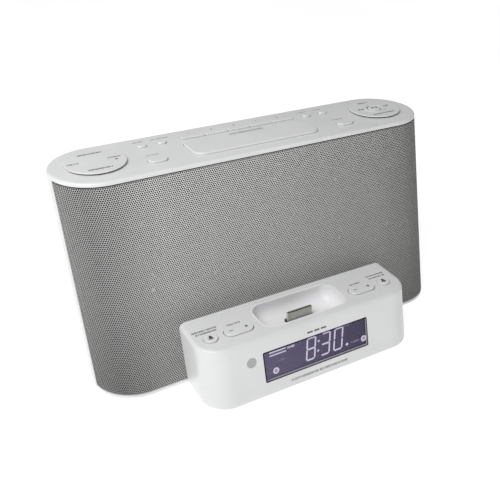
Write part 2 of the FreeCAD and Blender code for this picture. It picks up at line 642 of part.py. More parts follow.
def make_key_switches():
    """One push switch under every key, and four under each pad's rim."""
    spots = [(number(x), number("sizes.key_back")) for x in KEY_X.values()]
    spots += [(side * number("sizes.oval_x"), number("sizes.oval_back")) for side in (-1, 1)]
    spots += [(number(f"sizes.preset_x + {step} * sizes.preset_pitch"),
               number("sizes.preset_back")) for step in range(-2, 3)]
    spots += [(side * number("sizes.snooze_stem_x"), number("sizes.snooze_back"))
              for side in (-1, 1)]
    spots += [(number("sizes.pad_x"), 0)]
    board = number("(-sizes.board_depth)")
    solids = [switch_solid(x, y, board, number(SWITCH_TOP)) for x, y in spots]
    for side in (-1, 1):
        for turn in (45, 135, 225, 315):
            x = side * number("sizes.pad_x") + PAD_SWITCH_RING * math.cos(math.radians(turn))
            y = PAD_SWITCH_RING * math.sin(math.radians(turn))
            solids.append(switch_solid(x, y, board, PAD_SWITCH_TOP))
    item = doc.addObject("Part::Feature", "key_switches")
    item.Label = "key_switches"
    item.Shape = Part.makeCompound(solids)
    item.Placement = Placement(Vector(0, number(TOP_Y), number(TOP_Z)), Rotation())
    nodes.append(item)


def switch_solid(x, y, board, top):
    """A push switch: a square case with its plunger."""
    side, plunger_radius = 5, 1.5
    corner = Vector(x - side / 2, y - side / 2, board)
    case = Part.makeBox(side, side, 0.6 * (top - board), corner)
    plunger = Part.makeCylinder(plunger_radius, top - board, Vector(x, y, board))
    return case.fuse(plunger).removeSplitter()


# ---- dock and display module ---------------------------------------------------------------

def module_outline(sketch, inset, back):
    """The module's plan: straight sides, round front corners, open back edge at y = back."""
    x = number(f"sizes.module_width / 2 - {inset}")
    front = number(f"-sizes.cabinet_depth / 2 - sizes.module_reach + {inset}")
    r = number(f"sizes.module_corner - {inset}")
    y = number(back)
    sketch.addGeometry([
        Part.LineSegment(Vector(r - x, front), Vector(x - r, front)),
        corner_arc(x - r, front + r, r, -90),
        Part.LineSegment(Vector(x, front + r), Vector(x, y)),
        Part.LineSegment(Vector(x, y), Vector(-x, y)),
        Part.LineSegment(Vector(-x, y), Vector(-x, front + r)),
        corner_arc(r - x, front + r, r, 180),
    ], False)
    for one, other in ((0, 1), (1, 2), (4, 5), (5, 0)):
        sketch.addConstraint(Sketcher.Constraint("Tangent", one, 2, other, 1))
    for one, other in ((2, 3), (3, 4)):
        sketch.addConstraint(Sketcher.Constraint("Coincident", one, 2, other, 1))
    sketch.addConstraint(Sketcher.Constraint("Horizontal", 0))
    for index in (2, 4):
        sketch.addConstraint(Sketcher.Constraint("Vertical", index))
    sketch.addConstraint(Sketcher.Constraint("Equal", 1, 5))
    sketch.addConstraint(Sketcher.Constraint("Symmetric", 3, 1, 3, 2, -2))
    dimension(sketch, "DistanceX", 3, 2, 3, 1, f"(sizes.module_width - 2 * {inset})")
    dimension(sketch, "Radius", 1, f"(sizes.module_corner - {inset})")
    dimension(sketch, "DistanceY", 0, 1, -1, 1,
              f"(sizes.cabinet_depth / 2 + sizes.module_reach - {inset})")
    dimension(sketch, "DistanceY", 3, 1, -1, 1, f"(-({back}))")
    return sketch


def module_face_sketch(body, x, height, inset):
    """A sketch parallel to the module's leaning front, for a body at the cabinet's foot."""
    face = f"(sizes.cabinet_depth / 2 + sizes.module_reach - {LEAN} * ({height}) - {inset})"
    return new_sketch(body, x=x, y=f"({height} - ({inset}) * {LEAN})", z=face,
                      plane="XZ_Plane", tilt="-sizes.lean_angle")


BACK_LINE = "(-sizes.cabinet_depth / 2 - sizes.seam)"
LEAN_SHIFT = f"({LEAN} * sizes.module_height)"
MODULE_KEYS = {"alarm_key_left": ("-75.6", "-48.8"), "alarm_key_right": ("74", "-48.2")}
ROCKERS = {"rocker_left": "-53.8", "rocker_right": "52.8"}


def in_front_of(line):
    """Accepts the edges that reach in front of a line at y, in the body's own frame."""
    limit = number(line) - 0.5
    return lambda edge: edge.BoundBox.YMin < limit


def make_module_case():
    body = new_body("module_case", y="sizes.base_y", z="sizes.foot_height")
    top = "sizes.module_height"
    pad(body, module_outline(new_sketch(body), "0", BACK_LINE), top, lean=True)
    fillet(body, top, "sizes.module_round", in_front_of(f"({BACK_LINE} + {LEAN_SHIFT})"))
    fillet(body, 0, "sizes.module_foot_round", in_front_of(BACK_LINE))
    rib = new_sketch(body, y=f"({BACK_LINE} + {LEAN_SHIFT} - sizes.rib_deep / 2)", z=top)
    pad(body, rectangle(rib, "sizes.rib_width", "sizes.rib_deep"), "sizes.rib_rise", lean=True)
    fillet(body, f"({top} + sizes.rib_rise)", "sizes.rib_round",
           in_front_of(f"({BACK_LINE} + {LEAN_SHIFT} + {LEAN} * sizes.rib_rise)"))
    hollow = new_sketch(body, z=-1, y=f"(-{LEAN})")
    module_outline(hollow, "sizes.module_wall", "(-sizes.cabinet_depth / 2 + 5)")
    pocket(body, hollow, f"({top} - sizes.module_wall + 1.4)", lean=True, up=True)
    well = rounded(new_sketch(body, x="sizes.well_x", y="sizes.well_y", z=f"({top} + 1)"),
                   "(sizes.well_width + 2 * sizes.seam)", "(sizes.well_depth + 2 * sizes.seam)",
                   "(sizes.well_corner + sizes.seam)")
    pocket(body, well, 6)
    for x, y in MODULE_KEYS.values():
        hole = circle(new_sketch(body, x=x, y=y, z=top), "sizes.round_radius + sizes.clearance")
        pocket(body, hole, 5)
    for x in ROCKERS.values():
        cut_rocker_seat(body, x)
    x, height = "sizes.window_x", "sizes.window_height"
    rebate = rounded(module_face_sketch(body, x, height, "-1"),
                     "(sizes.window_width + 2 * sizes.seam)",
                     "(sizes.window_tall + 2 * sizes.seam)", "(sizes.window_corner + sizes.seam)")
    pocket(body, rebate, "(1 + sizes.window_inset + sizes.window_thick + sizes.seam)")
    through = rectangle(module_face_sketch(body, x, height, "-1"),
                        f"({LCD_WIDTH} + 2 * sizes.lcd_play)", "(sizes.lcd_tall + 2 * sizes.lcd_play)")
    pocket(body, through, 8)
    eye = module_face_sketch(body, "sizes.sensor_x", "sizes.sensor_height", "-1")
    pocket(body, circle(eye, "(sizes.sensor_radius + sizes.seam)"), 8)


def cut_rocker_seat(body, x):
    """A rocker's hole in the module's top, between two ears bored for its pivot pin."""
    top = "sizes.module_height"
    for side in (-1, 1):
        ear = new_sketch(body, x=x, y=f"(sizes.rocker_y + {side} * sizes.rocker_ear)",
                         z=f"({top} - 2)")
        pad(body, rectangle(ear, 5, 1.6), "sizes.rocker_pivot", down=True)
    hole = new_sketch(body, x=x, y="sizes.rocker_y", z=top)
    pocket(body, stadium(hole, "sizes.rocker_width + 1", "sizes.rocker_depth + 0.8"), 5)
    bore = new_sketch(body, x=x, y=f"({top} - sizes.rocker_pivot)", z="(-sizes.rocker_y)",
                      plane="XZ_Plane")
    pocket(body, circle(bore, "(sizes.trunnion_radius + sizes.trunnion_play)"), 18, middle=True)


def make_module_base():
    body = new_body("module_base", y="sizes.base_y", z="(sizes.foot_height + 0.2)")
    inset = "(sizes.module_wall + 0.15)"
    pad(body, module_outline(new_sketch(body), inset, BACK_LINE), 2.3, lean=True)


def face_body(label, x, height, inset):
    """A body whose XY plane is parallel to the module's front, inset behind its surface."""
    inward = f"({inset} * cos(sizes.lean_angle))"
    y = (f"(sizes.base_y - sizes.cabinet_depth / 2 - sizes.module_reach + {LEAN} * {height}"
         f" + {inward})")
    z = f"(sizes.foot_height + {height} - {inset} * sin(sizes.lean_angle))"
    return new_body(label, x=x, y=y, z=z, tilt=LEAN_BACK)


LCD_WIDTH = "(sizes.window_width - 1)"
LCD_INSET = "(sizes.window_inset + sizes.window_thick + sizes.seam)"
BACKLIGHT_INSET = f"({LCD_INSET} + sizes.lcd_thick + sizes.seam)"
DISPLAY_BOARD_INSET = f"({BACKLIGHT_INSET} + sizes.backlight_thick + sizes.seam)"


def face_slab(label, inset, width, tall, thick):
    """A flat piece of the display stack, its front face inset behind the module's front."""
    body = face_body(label, "sizes.window_x", "sizes.window_height", inset)
    pad(body, rectangle(new_sketch(body), width, tall), thick, down=True)


def make_display():
    pane = face_body("display_window", "sizes.window_x", "sizes.window_height",
                     "sizes.window_inset")
    pad(pane, rounded(new_sketch(pane), "sizes.window_width", "sizes.window_tall",
                      "sizes.window_corner"), "sizes.window_thick", down=True)
    face_slab("lcd_panel", LCD_INSET, LCD_WIDTH, "sizes.lcd_tall", "sizes.lcd_thick")
    face_slab("lcd_backlight", BACKLIGHT_INSET, LCD_WIDTH, "sizes.lcd_tall",
              "sizes.backlight_thick")
    face_slab("display_board", DISPLAY_BOARD_INSET, 118, 18, "sizes.board_thick")
    lens = face_body("sensor_lens", "sizes.sensor_x", "sizes.sensor_height",
                     "sizes.window_inset")
    pad(lens, circle(new_sketch(lens), "sizes.sensor_radius"), 2.7, down=True)


def make_dock():
    y = "(sizes.base_y + sizes.well_y)"
    wall = "2 * sizes.well_wall"
    well = new_body("dock_well", x="sizes.well_x", y=y, z=MODULE_TOP)
    pad(well, rounded(new_sketch(well), "sizes.well_width", "sizes.well_depth",
                      "sizes.well_corner"), "(sizes.well_drop + sizes.well_wall)", down=True)
    inside = rounded(new_sketch(well, z=0.01), f"(sizes.well_width - {wall})",
                     f"(sizes.well_depth - {wall})", "(sizes.well_corner - sizes.well_wall)")
    pocket(well, inside, "(sizes.well_drop + 0.01)")
    fillet(well, "-sizes.well_drop", "sizes.well_scoop")
    slot = rounded(new_sketch(well, x="(-sizes.well_x)"), "(sizes.tongue_width + 2.2)", 7, 1.5)
    pocket(well, slot, "(sizes.well_drop + sizes.well_wall + 2)")

    seat = f"({MODULE_TOP} - sizes.well_drop - sizes.tongue_seat)"
    connector = new_body("dock_connector", y=y, z=seat)
    block = rounded(new_sketch(connector), "(sizes.tongue_width + 1.6)", 6.2, 1)
    pad(connector, block, "(sizes.tongue_seat + 1)")
    tongue = rounded(new_sketch(connector), "sizes.tongue_width", "sizes.tongue_thick", 0.6)
    pad(connector, tongue, f"(sizes.foot_height + sizes.tongue_top - {seat})")

    board = new_body("dock_board", y=y, z=seat)
    pad(board, rectangle(new_sketch(board), 66, 24), "sizes.board_thick", down=True)


def make_module_keys():
    for name, (x, y) in MODULE_KEYS.items():
        body = new_body(name, x=x, y=f"(sizes.base_y + {y})", z=MODULE_TOP)
        pad(body, circle(new_sketch(body, z=-3.6), "sizes.round_radius"),
            "(3.6 + sizes.button_rise)")
        fillet(body, "sizes.button_rise", 0.6)
        pad(body, circle(new_sketch(body, z=-4.4), "sizes.round_radius + 1"), 0.9)
    for name, x in ROCKERS.items():
        body = new_body(name, x=x, y="(sizes.base_y + sizes.rocker_y)", z=MODULE_TOP)
        pad(body, stadium(new_sketch(body, z=-5.8), "sizes.rocker_width", "sizes.rocker_depth"),
            "(5.8 + sizes.button_rise)")
        fillet(body, "sizes.button_rise", 0.8)
        pin = circle(new_sketch(body, y="(-sizes.rocker_pivot)", plane="XZ_Plane"),
                     "sizes.trunnion_radius")
        pad(body, pin, "sizes.rocker_pin", middle=True)


# ---- inside and back -----------------------------------------------------------------------

BOARD_LEVEL = "(sizes.foot_height + sizes.main_board_height)"


def level_body(label, x, back, z):
    """A body in the cabinet, placed from its middle line at the height z."""
    return new_body(label, x=x, y=f"({lean_y(BOARD_LEVEL)} + {back})", z=z)


def make_electronics():
    on_board = f"({BOARD_LEVEL} + sizes.board_thick)"
    board = level_body("main_board", 0, -1, BOARD_LEVEL)
    pad(board, rectangle(new_sketch(board), 216, 42), "sizes.board_thick")

    sink = level_body("heat_sink", -22, 2, on_board)
    pad(sink, rectangle(new_sketch(sink), 60, 4), 32)
    fin = rectangle(new_sketch(sink, x=-29, y=7), 1.6, 14)
    last = pad(sink, fin, 32)
    fins = sink.newObject("PartDesign::LinearPattern", "fins")
    fins.Originals = [last]
    fins.Direction = (origin_axis(sink, "X_Axis"), [""])
    fins.Length = 58
    fins.Occurrences = 11
    sink.Tip = fins

    tuner = level_body("tuner_module", 24, 0, on_board)
    pad(tuner, rounded(new_sketch(tuner), 30, 22, 1), 8)

    antenna_z = f"({TOP_Z} - 26)"
    antenna_y = f"({lean_y(antenna_z)} + 16)"
    rod = new_body("ferrite_rod", y=antenna_y, z=antenna_z)
    pad(rod, circle(new_sketch(rod, plane="YZ_Plane"), 5), 96, middle=True)
    coil = new_body("antenna_coil", x=-24, y=antenna_y, z=antenna_z)
    turns = circle(new_sketch(coil, plane="YZ_Plane"), 6.6)
    pad(coil, circle(turns, 5.15), 22, middle=True)

    cable = new_body("key_ribbon", x=-70, y=f"({lean_y(on_board)} + 18)", z=f"({on_board} + 0.05)")
    run = f"({TOP_Z} - sizes.board_depth - sizes.board_thick - {on_board} - 0.1)"
    pad(cable, rectangle(new_sketch(cable), 22, 0.8), run, lean=True)


def make_backup_battery():
    x = "sizes.cell_x"
    holder = new_body("battery_holder", x=x, y="sizes.base_y", z=f"({RIM_Z} + 0.05)")
    pad(holder, rounded(new_sketch(holder), 27, 27, 3), 8)
    pocket(holder, circle(new_sketch(holder), "sizes.cell_radius + 0.4"), 5.5, up=True)
    cell = new_body("coin_cell", x=x, y="sizes.base_y", z=f"({RIM_Z} + 1.5)")
    pad(cell, circle(new_sketch(cell), "sizes.cell_radius"), "sizes.cell_thick")
    fillet(cell, 0, 0.4)
    length = "sizes.cover_length"
    y = f"(sizes.base_y + sizes.cabinet_depth / 2 - {length} / 2 - 0.6)"
    cover = new_body("battery_cover", x=x, y=y, z="(sizes.foot_height + 0.05)")
    pad(cover, rectangle(new_sketch(cover), "sizes.cover_width", length), 1.6)
    pad(cover, rectangle(new_sketch(cover, z=1.0), "sizes.cover_width + 3.8", length), 0.6)
    for step in range(4):
        grip = rectangle(new_sketch(cover, y=f"({length} / 2 - 5 - {step} * 2.4)"), 16, 1)
        pocket(cover, grip, 0.4, up=True)


def jack_body(label, x):
    """A socket whose Z axis points out of the leaning back, from the back's outer face."""
    height = "sizes.jack_height"
    y = f"(sizes.base_y + sizes.cabinet_depth / 2 + {LEAN} * {height})"
    return new_body(label, x=x, y=y, z=f"(sizes.foot_height + {height})", tilt=LEAN_REAR)


def make_jacks():
    inlet = jack_body("power_inlet", "sizes.inlet_x")
    pad(inlet, circle(new_sketch(inlet, z=-5), 5), 4.7)
    pad(inlet, rectangle(new_sketch(inlet, z=-14), 11, 11), 11)
    ring = circle(new_sketch(inlet), 2.75)
    pocket(inlet, circle(ring, 1), 10)
    audio = jack_body("audio_jack", "sizes.audio_x")
    pad(audio, circle(new_sketch(audio, z=-5), 4), 4.9)
    pad(audio, rectangle(new_sketch(audio, z=-15), 10, 10), 12)
    pocket(audio, circle(new_sketch(audio, z=0.5), 1.8), 14)


def screw(head_radius, head, shank_radius, length):
    """A screw along +Z from the underside of its head at zero."""
    top = Part.makeCylinder(head_radius, head, Vector(0, 0, -head))
    shank = Part.makeCylinder(shank_radius, length)
    tip = Part.makeCone(shank_radius, 0.3, 1.2, Vector(0, 0, length))
    solid = top.fuse([shank, tip]).removeSplitter()
    slot = Part.makeBox(2.4, 0.5, 0.6, Vector(-1.2, -0.25, -head))
    cross = Part.makeBox(0.5, 2.4, 0.6, Vector(-0.25, -1.2, -head))
    return solid.cut(slot.fuse(cross))


def add_group(label, solids):
    item = doc.addObject("Part::Feature", label)
    item.Label = label
    item.Shape = Part.makeCompound(solids)
    item.Placement = Placement()
    nodes.append(item)


def make_fasteners():
    solids = []
    seat = number("sizes.foot_height + sizes.screw_seat") - 0.05
    for x in SCREW_X:
        item = screw(2.8, 1.1, 1.35, 8)
        item.translate(Vector(x, number("sizes.base_y + sizes.screw_back"), seat))
        solids.append(item)
    for x, y in BOARD_POSTS:
        item = screw(2.4, 1.2, 1.2, 4.5)
        level = number(f"{TOP_Z} - sizes.board_depth - sizes.board_thick") - 0.02
        item.translate(Vector(x, number(TOP_Y) + y, level))
        solids.append(item)
    lean = Rotation(Vector(1, 0, 0), number(LEAN_BACK))
    back = number(BAFFLE_BACK)
    for side in (-1, 1):
        for turn in SCREW_TURNS:
            item = screw(2.2, 1.3, 1.3, 2.6)
            angle = math.radians(turn)
            ring = number("sizes.speaker_screw_ring")
            spot = Vector(ring * math.cos(angle), ring * math.sin(angle), -1.55)
            item.Placement = Placement(spot, Rotation())
            y = number(f"{lean_y(SPEAKER_Z)} - sizes.cabinet_depth / 2 + {back}"
                       " * cos(sizes.lean_angle)")
            z = number(f"{SPEAKER_Z} - {back} * sin(sizes.lean_angle)")
            centre = Vector(side * number("sizes.speaker_x"), y, z)
            item.Placement = Placement(centre, lean).multiply(item.Placement)
            solids.append(item)
    add_group("screws", solids)


def make_feet():
    """Six round feet; the two under the module reach up to its recessed base."""
    base, tall = number("sizes.base_y"), number("sizes.foot_height")
    radius, back = number("sizes.foot_radius"), number("sizes.foot_back")
    solids = []
    for side in (-1, 1):
        for y in (base + back, base - back):
            spot = Vector(side * number("sizes.foot_x"), y, 0)
            solids.append(Part.makeCylinder(radius, tall, spot))
        spot = Vector(side * number("sizes.foot_front_x"), base - number("sizes.foot_front"), 0)
        solids.append(Part.makeCylinder(radius, tall + 0.2, spot))
    add_group("rubber_feet", solids)


# ---- assembly ------------------------------------------------------------------------------

make_base_plate()
make_rear_shell()
make_top_cover()
make_grille()
make_baffle()
for speaker_name, speaker_side in (("left", -1), ("right", 1)):
    make_speaker(speaker_name, speaker_side)
make_top_keys()
make_pad("left", -1, with_button=False)
make_pad("right", 1, with_button=True)
make_pad_brackets()
make_centre_button()
make_key_board()
make_key_switches()
make_module_case()
make_module_base()
make_display()
make_dock()
make_module_keys()
make_electronics()
make_backup_battery()
make_jacks()
make_fasteners()
make_feet()

doc.recompute()
for item in doc.Objects:
    if "Invalid" in item.State or "Error" in item.State:
        raise RuntimeError(f"{item.Name} of {item.Label} did not build: {item.State}")
for node in nodes:
    if node.Shape.isNull() or not node.Shape.isValid() or not node.Shape.Solids:
        raise RuntimeError(f"{node.Label} has no valid solid")

os.makedirs("parts", exist_ok=True)
for node in nodes:
    node.Shape.exportStep(f"parts/{node.Label}.step")
print(len(nodes), "nodes")
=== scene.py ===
import json
import math
import random

import bpy
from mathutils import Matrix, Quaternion, Vector


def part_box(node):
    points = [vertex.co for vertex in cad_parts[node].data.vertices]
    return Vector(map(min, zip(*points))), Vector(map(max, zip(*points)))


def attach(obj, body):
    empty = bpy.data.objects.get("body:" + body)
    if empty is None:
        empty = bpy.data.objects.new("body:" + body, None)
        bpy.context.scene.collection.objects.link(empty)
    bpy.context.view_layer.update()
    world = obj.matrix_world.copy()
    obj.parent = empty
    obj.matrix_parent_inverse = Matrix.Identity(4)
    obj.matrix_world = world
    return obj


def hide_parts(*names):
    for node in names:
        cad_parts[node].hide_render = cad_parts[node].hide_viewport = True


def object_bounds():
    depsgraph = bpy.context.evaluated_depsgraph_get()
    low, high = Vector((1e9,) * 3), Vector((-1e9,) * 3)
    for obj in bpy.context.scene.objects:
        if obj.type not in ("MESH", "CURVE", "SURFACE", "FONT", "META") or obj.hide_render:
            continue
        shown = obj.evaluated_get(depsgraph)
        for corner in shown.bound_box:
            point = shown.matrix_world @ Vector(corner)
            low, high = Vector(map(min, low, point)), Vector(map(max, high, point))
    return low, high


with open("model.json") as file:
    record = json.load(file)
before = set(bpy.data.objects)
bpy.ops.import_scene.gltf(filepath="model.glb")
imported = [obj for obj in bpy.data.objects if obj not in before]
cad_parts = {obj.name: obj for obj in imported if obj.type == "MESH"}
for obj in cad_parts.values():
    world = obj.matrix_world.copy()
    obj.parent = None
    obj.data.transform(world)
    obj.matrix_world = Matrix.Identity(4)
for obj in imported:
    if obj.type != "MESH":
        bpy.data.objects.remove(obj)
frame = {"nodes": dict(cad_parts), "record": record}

# A clock radio: a leaning cabinet with a perforated grille, keys on its top, and a dock and
# display module at the foot of its front.  Lengths are metres; MM turns millimetres into them.

CAD_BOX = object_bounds()
MM = 0.001
LEAN = math.radians(13)
SLOPE = math.tan(LEAN)
END_RADIUS = 33.5 * MM
SLOT_OF = {entry["node"]: entry["material_slot"] for entry in frame["record"]["subparts"]}

shell_low, shell_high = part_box("rear_shell")
base_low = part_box("base_plate")[0]
FLOOR_OF_SHELL = base_low.z
HALF_WIDTH = shell_high.x
END_CENTRE = HALF_WIDTH - END_RADIUS
BASE_Y = base_low.y + END_RADIUS
TOP_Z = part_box("top_cover")[1].z
TOP_Y = BASE_Y + SLOPE * (TOP_Z - FLOOR_OF_SHELL)
MODULE_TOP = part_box("dock_well")[1].z
FACE_OUT = Vector((0, -math.cos(LEAN), math.sin(LEAN)))
FACE_UP = Vector((0, math.sin(LEAN), math.cos(LEAN)))


# ---- materials -----------------------------------------------------------------------------

# Painted shade on the grille: how far its paint is darkened from left to right and from foot to top,
# standing in for light that falls off there; a place from 0 to 1 and a level.
GRILLE_SIDE_SHADE = [(0.0, 0.56), (0.05, 0.54), (0.13, 0.84), (0.2, 1.0), (0.5, 0.93), (0.8, 0.75),
                (0.9, 0.58), (1.0, 0.14)]
GRILLE_FOOT_SHADE = [(0.0, 0.56), (0.45, 0.88), (1.0, 1.0)]


class Nodes:
    """A material's node tree with short calls for the nodes that these surfaces use."""

    def __init__(self, name):
        self.material = bpy.data.materials.new(name)
        self.material.use_nodes = True
        self.tree = self.material.node_tree
        self.shader = self.tree.nodes["Principled BSDF"]
        self.output = self.tree.nodes["Material Output"]
        self.place = self.add("ShaderNodeTexCoord").outputs["Object"]

    def add(self, kind, **sockets):
        node = self.tree.nodes.new(kind)
        for name, value in sockets.items():
            self.put(node, name.replace("_", " "), value)
        return node

    def put(self, node, name, value):
        socket = node.inputs[name]
        if isinstance(value, bpy.types.NodeSocket):
            self.tree.links.new(value, socket)
        else:
            socket.default_value = value

    def set(self, **sockets):
        for name, value in sockets.items():
            self.put(self.shader, name.replace("_", " "), value)
        return self

    def noise(self, per_metre, detail=2.0, roughness=0.5, vector=None):
        node = self.add("ShaderNodeTexNoise", Vector=vector or self.place, Scale=per_metre,
                        Detail=detail, Roughness=roughness)
        return node.outputs["Fac"]

    def ramp(self, fac, *stops):
        node = self.add("ShaderNodeValToRGB", Fac=fac)
        elements = node.color_ramp.elements
        while len(elements) < len(stops):
            elements.new(0.5)
        for element, (position, colour) in zip(elements, stops):
            element.position = position
            element.color = (*colour, 1.0)
        return node.outputs["Color"]

    def remap(self, fac, low, high):
        node = self.add("ShaderNodeMapRange", Value=fac, To_Min=low, To_Max=high)
        return node.outputs["Result"]

    def multiply(self, one, other):
        node = self.add("ShaderNodeVectorMath")
        node.operation = "MULTIPLY"
        self.put(node, 0, one)
        self.put(node, 1, other)
        return node.outputs["Vector"]

    def stretched(self, x=1.0, y=1.0, z=1.0):
        node = self.add("ShaderNodeMapping", Vector=self.place, Scale=(x, y, z))
        return node.outputs["Vector"]

    def bump(self, height, strength, depth, below=None):
        node = self.add("ShaderNodeBump", Height=height, Strength=strength, Distance=depth)
        if below is not None:
            self.tree.links.new(below, node.inputs["Normal"])
        return node.outputs["Normal"]


def shade(colour, factor):
    return tuple(min(1.0, channel * factor) for channel in colour)


def moulded(name, colour, gloss=0.36, grain=2600, depth=0.00004, spread=0.05):
    """Moulded plastic: a fine spark-eroded grain, faint flow marks and a slight uneven gloss."""
    nodes = Nodes(name)
    clouds = nodes.noise(22, 3.0)
    tint = nodes.ramp(clouds, (0.3, shade(colour, 1 - spread)), (0.7, shade(colour, 1 + spread / 2)))
    fine = nodes.noise(grain, 2.0, 0.6)
    broad = nodes.noise(170, 2.0)
    normal = nodes.bump(broad, 0.08, depth * 3)
    rough = nodes.remap(nodes.noise(420, 3.0), gloss - 0.05, gloss + 0.08)
    nodes.set(Base_Color=tint, Roughness=rough, Normal=nodes.bump(fine, 0.15, depth, normal),
              Specular_IOR_Level=0.45)
    return nodes.material


def grille_paint_with_painted_shade():
    """Silver paint on perforated steel, with painted shade: darker where the sheet turns away and near its
    foot.
    """
    nodes = Nodes("grille_paint_with_painted_shade")
    flake = nodes.noise(5200, 2.0, 0.7)
    tint = nodes.ramp(flake, (0.3, (0.86, 0.87, 0.85)), (0.7, (1.0, 1.0, 0.97)))
    split = nodes.add("ShaderNodeSeparateXYZ", Vector=nodes.place)
    along = nodes.add("ShaderNodeMapRange", Value=split.outputs["X"], From_Min=-HALF_WIDTH,
                      From_Max=HALF_WIDTH)
    painted_side_shade = nodes.ramp(along.outputs["Result"], *[(at, (level,) * 3) for at, level in GRILLE_SIDE_SHADE])
    upward = nodes.add("ShaderNodeMapRange", Value=split.outputs["Z"], From_Min=0.0, From_Max=TOP_Z)
    foot = nodes.ramp(upward.outputs["Result"], *[(at, (level,) * 3) for at, level in GRILLE_FOOT_SHADE])
    # Painted shade: the paint's colour is multiplied down towards both ends and towards the foot.
    shaded = nodes.multiply(nodes.multiply(tint, painted_side_shade), foot)
    nodes.set(Base_Color=shaded, Metallic=0.25, Roughness=nodes.remap(nodes.noise(900, 3.0), 0.36, 0.48),
              Normal=nodes.bump(nodes.noise(1400, 2.0), 0.2, 0.00003))
    return nodes.material


def baffle_felt():
    """Black fibrous board behind the grille."""
    nodes = Nodes("baffle_felt")
    fibres = nodes.noise(1500, 4.0, 0.7, nodes.stretched(1.0, 1.0, 0.35))
    tint = nodes.ramp(fibres, (0.35, (0.006, 0.006, 0.007)), (0.7, (0.022, 0.022, 0.024)))
    nodes.set(Base_Color=tint, Roughness=0.95, Normal=nodes.bump(fibres, 0.6, 0.0003))
    return nodes.material


def metal(name, colour, rough, brushed=(1.0, 1.0, 1.0), metallic=1.0, grain=900):
    """Bare or plated metal with drawing lines along one axis."""
    nodes = Nodes(name)
    lines = nodes.noise(grain, 4.0, 0.65, nodes.stretched(*brushed))
    tint = nodes.ramp(lines, (0.3, shade(colour, 0.82)), (0.72, shade(colour, 1.12)))
    nodes.set(Base_Color=tint, Metallic=metallic, Roughness=nodes.remap(lines, rough - 0.07, rough + 0.12),
              Normal=nodes.bump(lines, 0.18, 0.00003))
    return nodes.material


def rubber(name, colour=(0.022, 0.022, 0.023)):
    nodes = Nodes(name)
    dust = nodes.noise(260, 4.0, 0.6)
    tint = nodes.ramp(dust, (0.35, colour), (0.75, shade(colour, 1.9)))
    nodes.set(Base_Color=tint, Roughness=nodes.remap(dust, 0.66, 0.86),
              Normal=nodes.bump(nodes.noise(1900, 3.0), 0.4, 0.00005))
    return nodes.material


def circuit_board():
    """Green solder resist with the raised shine of copper runs under it."""
    nodes = Nodes("circuit_board")
    runs = nodes.add("ShaderNodeTexVoronoi", Vector=nodes.stretched(1.0, 1.0, 0.2), Scale=260.0)
    runs.distance = "MANHATTAN"
    tint = nodes.ramp(runs.outputs["Distance"], (0.25, (0.02, 0.16, 0.06)),
                      (0.5, (0.01, 0.085, 0.035)))
    nodes.set(Base_Color=tint, Roughness=0.32, Coat_Weight=0.4,
              Normal=nodes.bump(runs.outputs["Distance"], 0.3, 0.00006))
    return nodes.material


def winding():
    """Enamelled copper wire wound side by side round the X axis."""
    nodes = Nodes("winding")
    turns = nodes.add("ShaderNodeTexWave", Vector=nodes.place, Scale=760.0, Distortion=0.4)
    tint = nodes.ramp(turns.outputs["Fac"], (0.2, (0.14, 0.045, 0.018)), (0.8, (0.62, 0.27, 0.12)))
    nodes.set(Base_Color=tint, Metallic=0.85, Roughness=0.34,
              Normal=nodes.bump(turns.outputs["Fac"], 0.8, 0.0002))
    return nodes.material


def ribbon():
    """Flat cable: grey parallel cores."""
    nodes = Nodes("ribbon")
    cores = nodes.add("ShaderNodeTexWave", Vector=nodes.place, Scale=250.0)
    tint = nodes.ramp(cores.outputs["Fac"], (0.15, (0.30, 0.30, 0.29)), (0.6, (0.62, 0.62, 0.60)))
    nodes.set(Base_Color=tint, Roughness=0.5, Normal=nodes.bump(cores.outputs["Fac"], 0.7, 0.0003))
    return nodes.material


def lcd_glass():
    """A lit negative display: blue-violet, a little brighter at its left end."""
    nodes = Nodes("lcd_glass")
    half_panel = 0.045
    split = nodes.add("ShaderNodeSeparateXYZ", Vector=nodes.place)
    along = nodes.add("ShaderNodeMapRange", Value=split.outputs["X"], From_Min=-half_panel,
                      From_Max=half_panel)
    uneven = nodes.add("ShaderNodeMath", Value=along.outputs["Result"])
    uneven.operation = "MULTIPLY_ADD"
    nodes.put(uneven, 1, 0.86)
    nodes.put(uneven, 2, nodes.remap(nodes.noise(60, 2.0), 0.0, 0.14))
    tint = nodes.ramp(uneven.outputs["Value"], (0.0, (0.085, 0.070, 0.130)),
                      (1.0, (0.012, 0.006, 0.036)))
    nodes.set(Base_Color=(0.02, 0.02, 0.03, 1), Emission_Color=tint, Emission_Strength=1.0,
              Specular_IOR_Level=0.1, Roughness=nodes.remap(nodes.noise(600, 2.0), 0.3, 0.4))
    return nodes.material


def glowing(name, colour, strength):
    """Lit marks of the display, slightly uneven along their length."""
    nodes = Nodes(name)
    tint = nodes.ramp(nodes.noise(240, 2.0), (0.3, shade(colour, 0.93)), (0.7, colour))
    nodes.set(Base_Color=(0.05, 0.05, 0.06, 1.0), Emission_Color=tint, Emission_Strength=strength,
              Roughness=0.5, Specular_IOR_Level=0.1)
    return nodes.material


def clear_pane(name, tint, gloss):
    """Clear plastic that lets straight light through and mirrors a little at its surface."""
    nodes = Nodes(name)
    scuffs = nodes.noise(700, 4.0, 0.7)
    through = nodes.add("ShaderNodeBsdfTransparent", Color=(*tint, 1.0))
    mirror = nodes.add("ShaderNodeBsdfGlossy", Color=(0.9, 0.9, 0.92, 1.0),
                       Roughness=nodes.remap(scuffs, gloss, gloss + 0.05))
    mix = nodes.add("ShaderNodeMixShader", Fac=nodes.remap(scuffs, 0.010, 0.026))
    nodes.tree.links.new(through.outputs["BSDF"], mix.inputs[1])
    nodes.tree.links.new(mirror.outputs["BSDF"], mix.inputs[2])
    nodes.tree.links.new(mix.outputs["Shader"], nodes.output.inputs["Surface"])
    return nodes.material


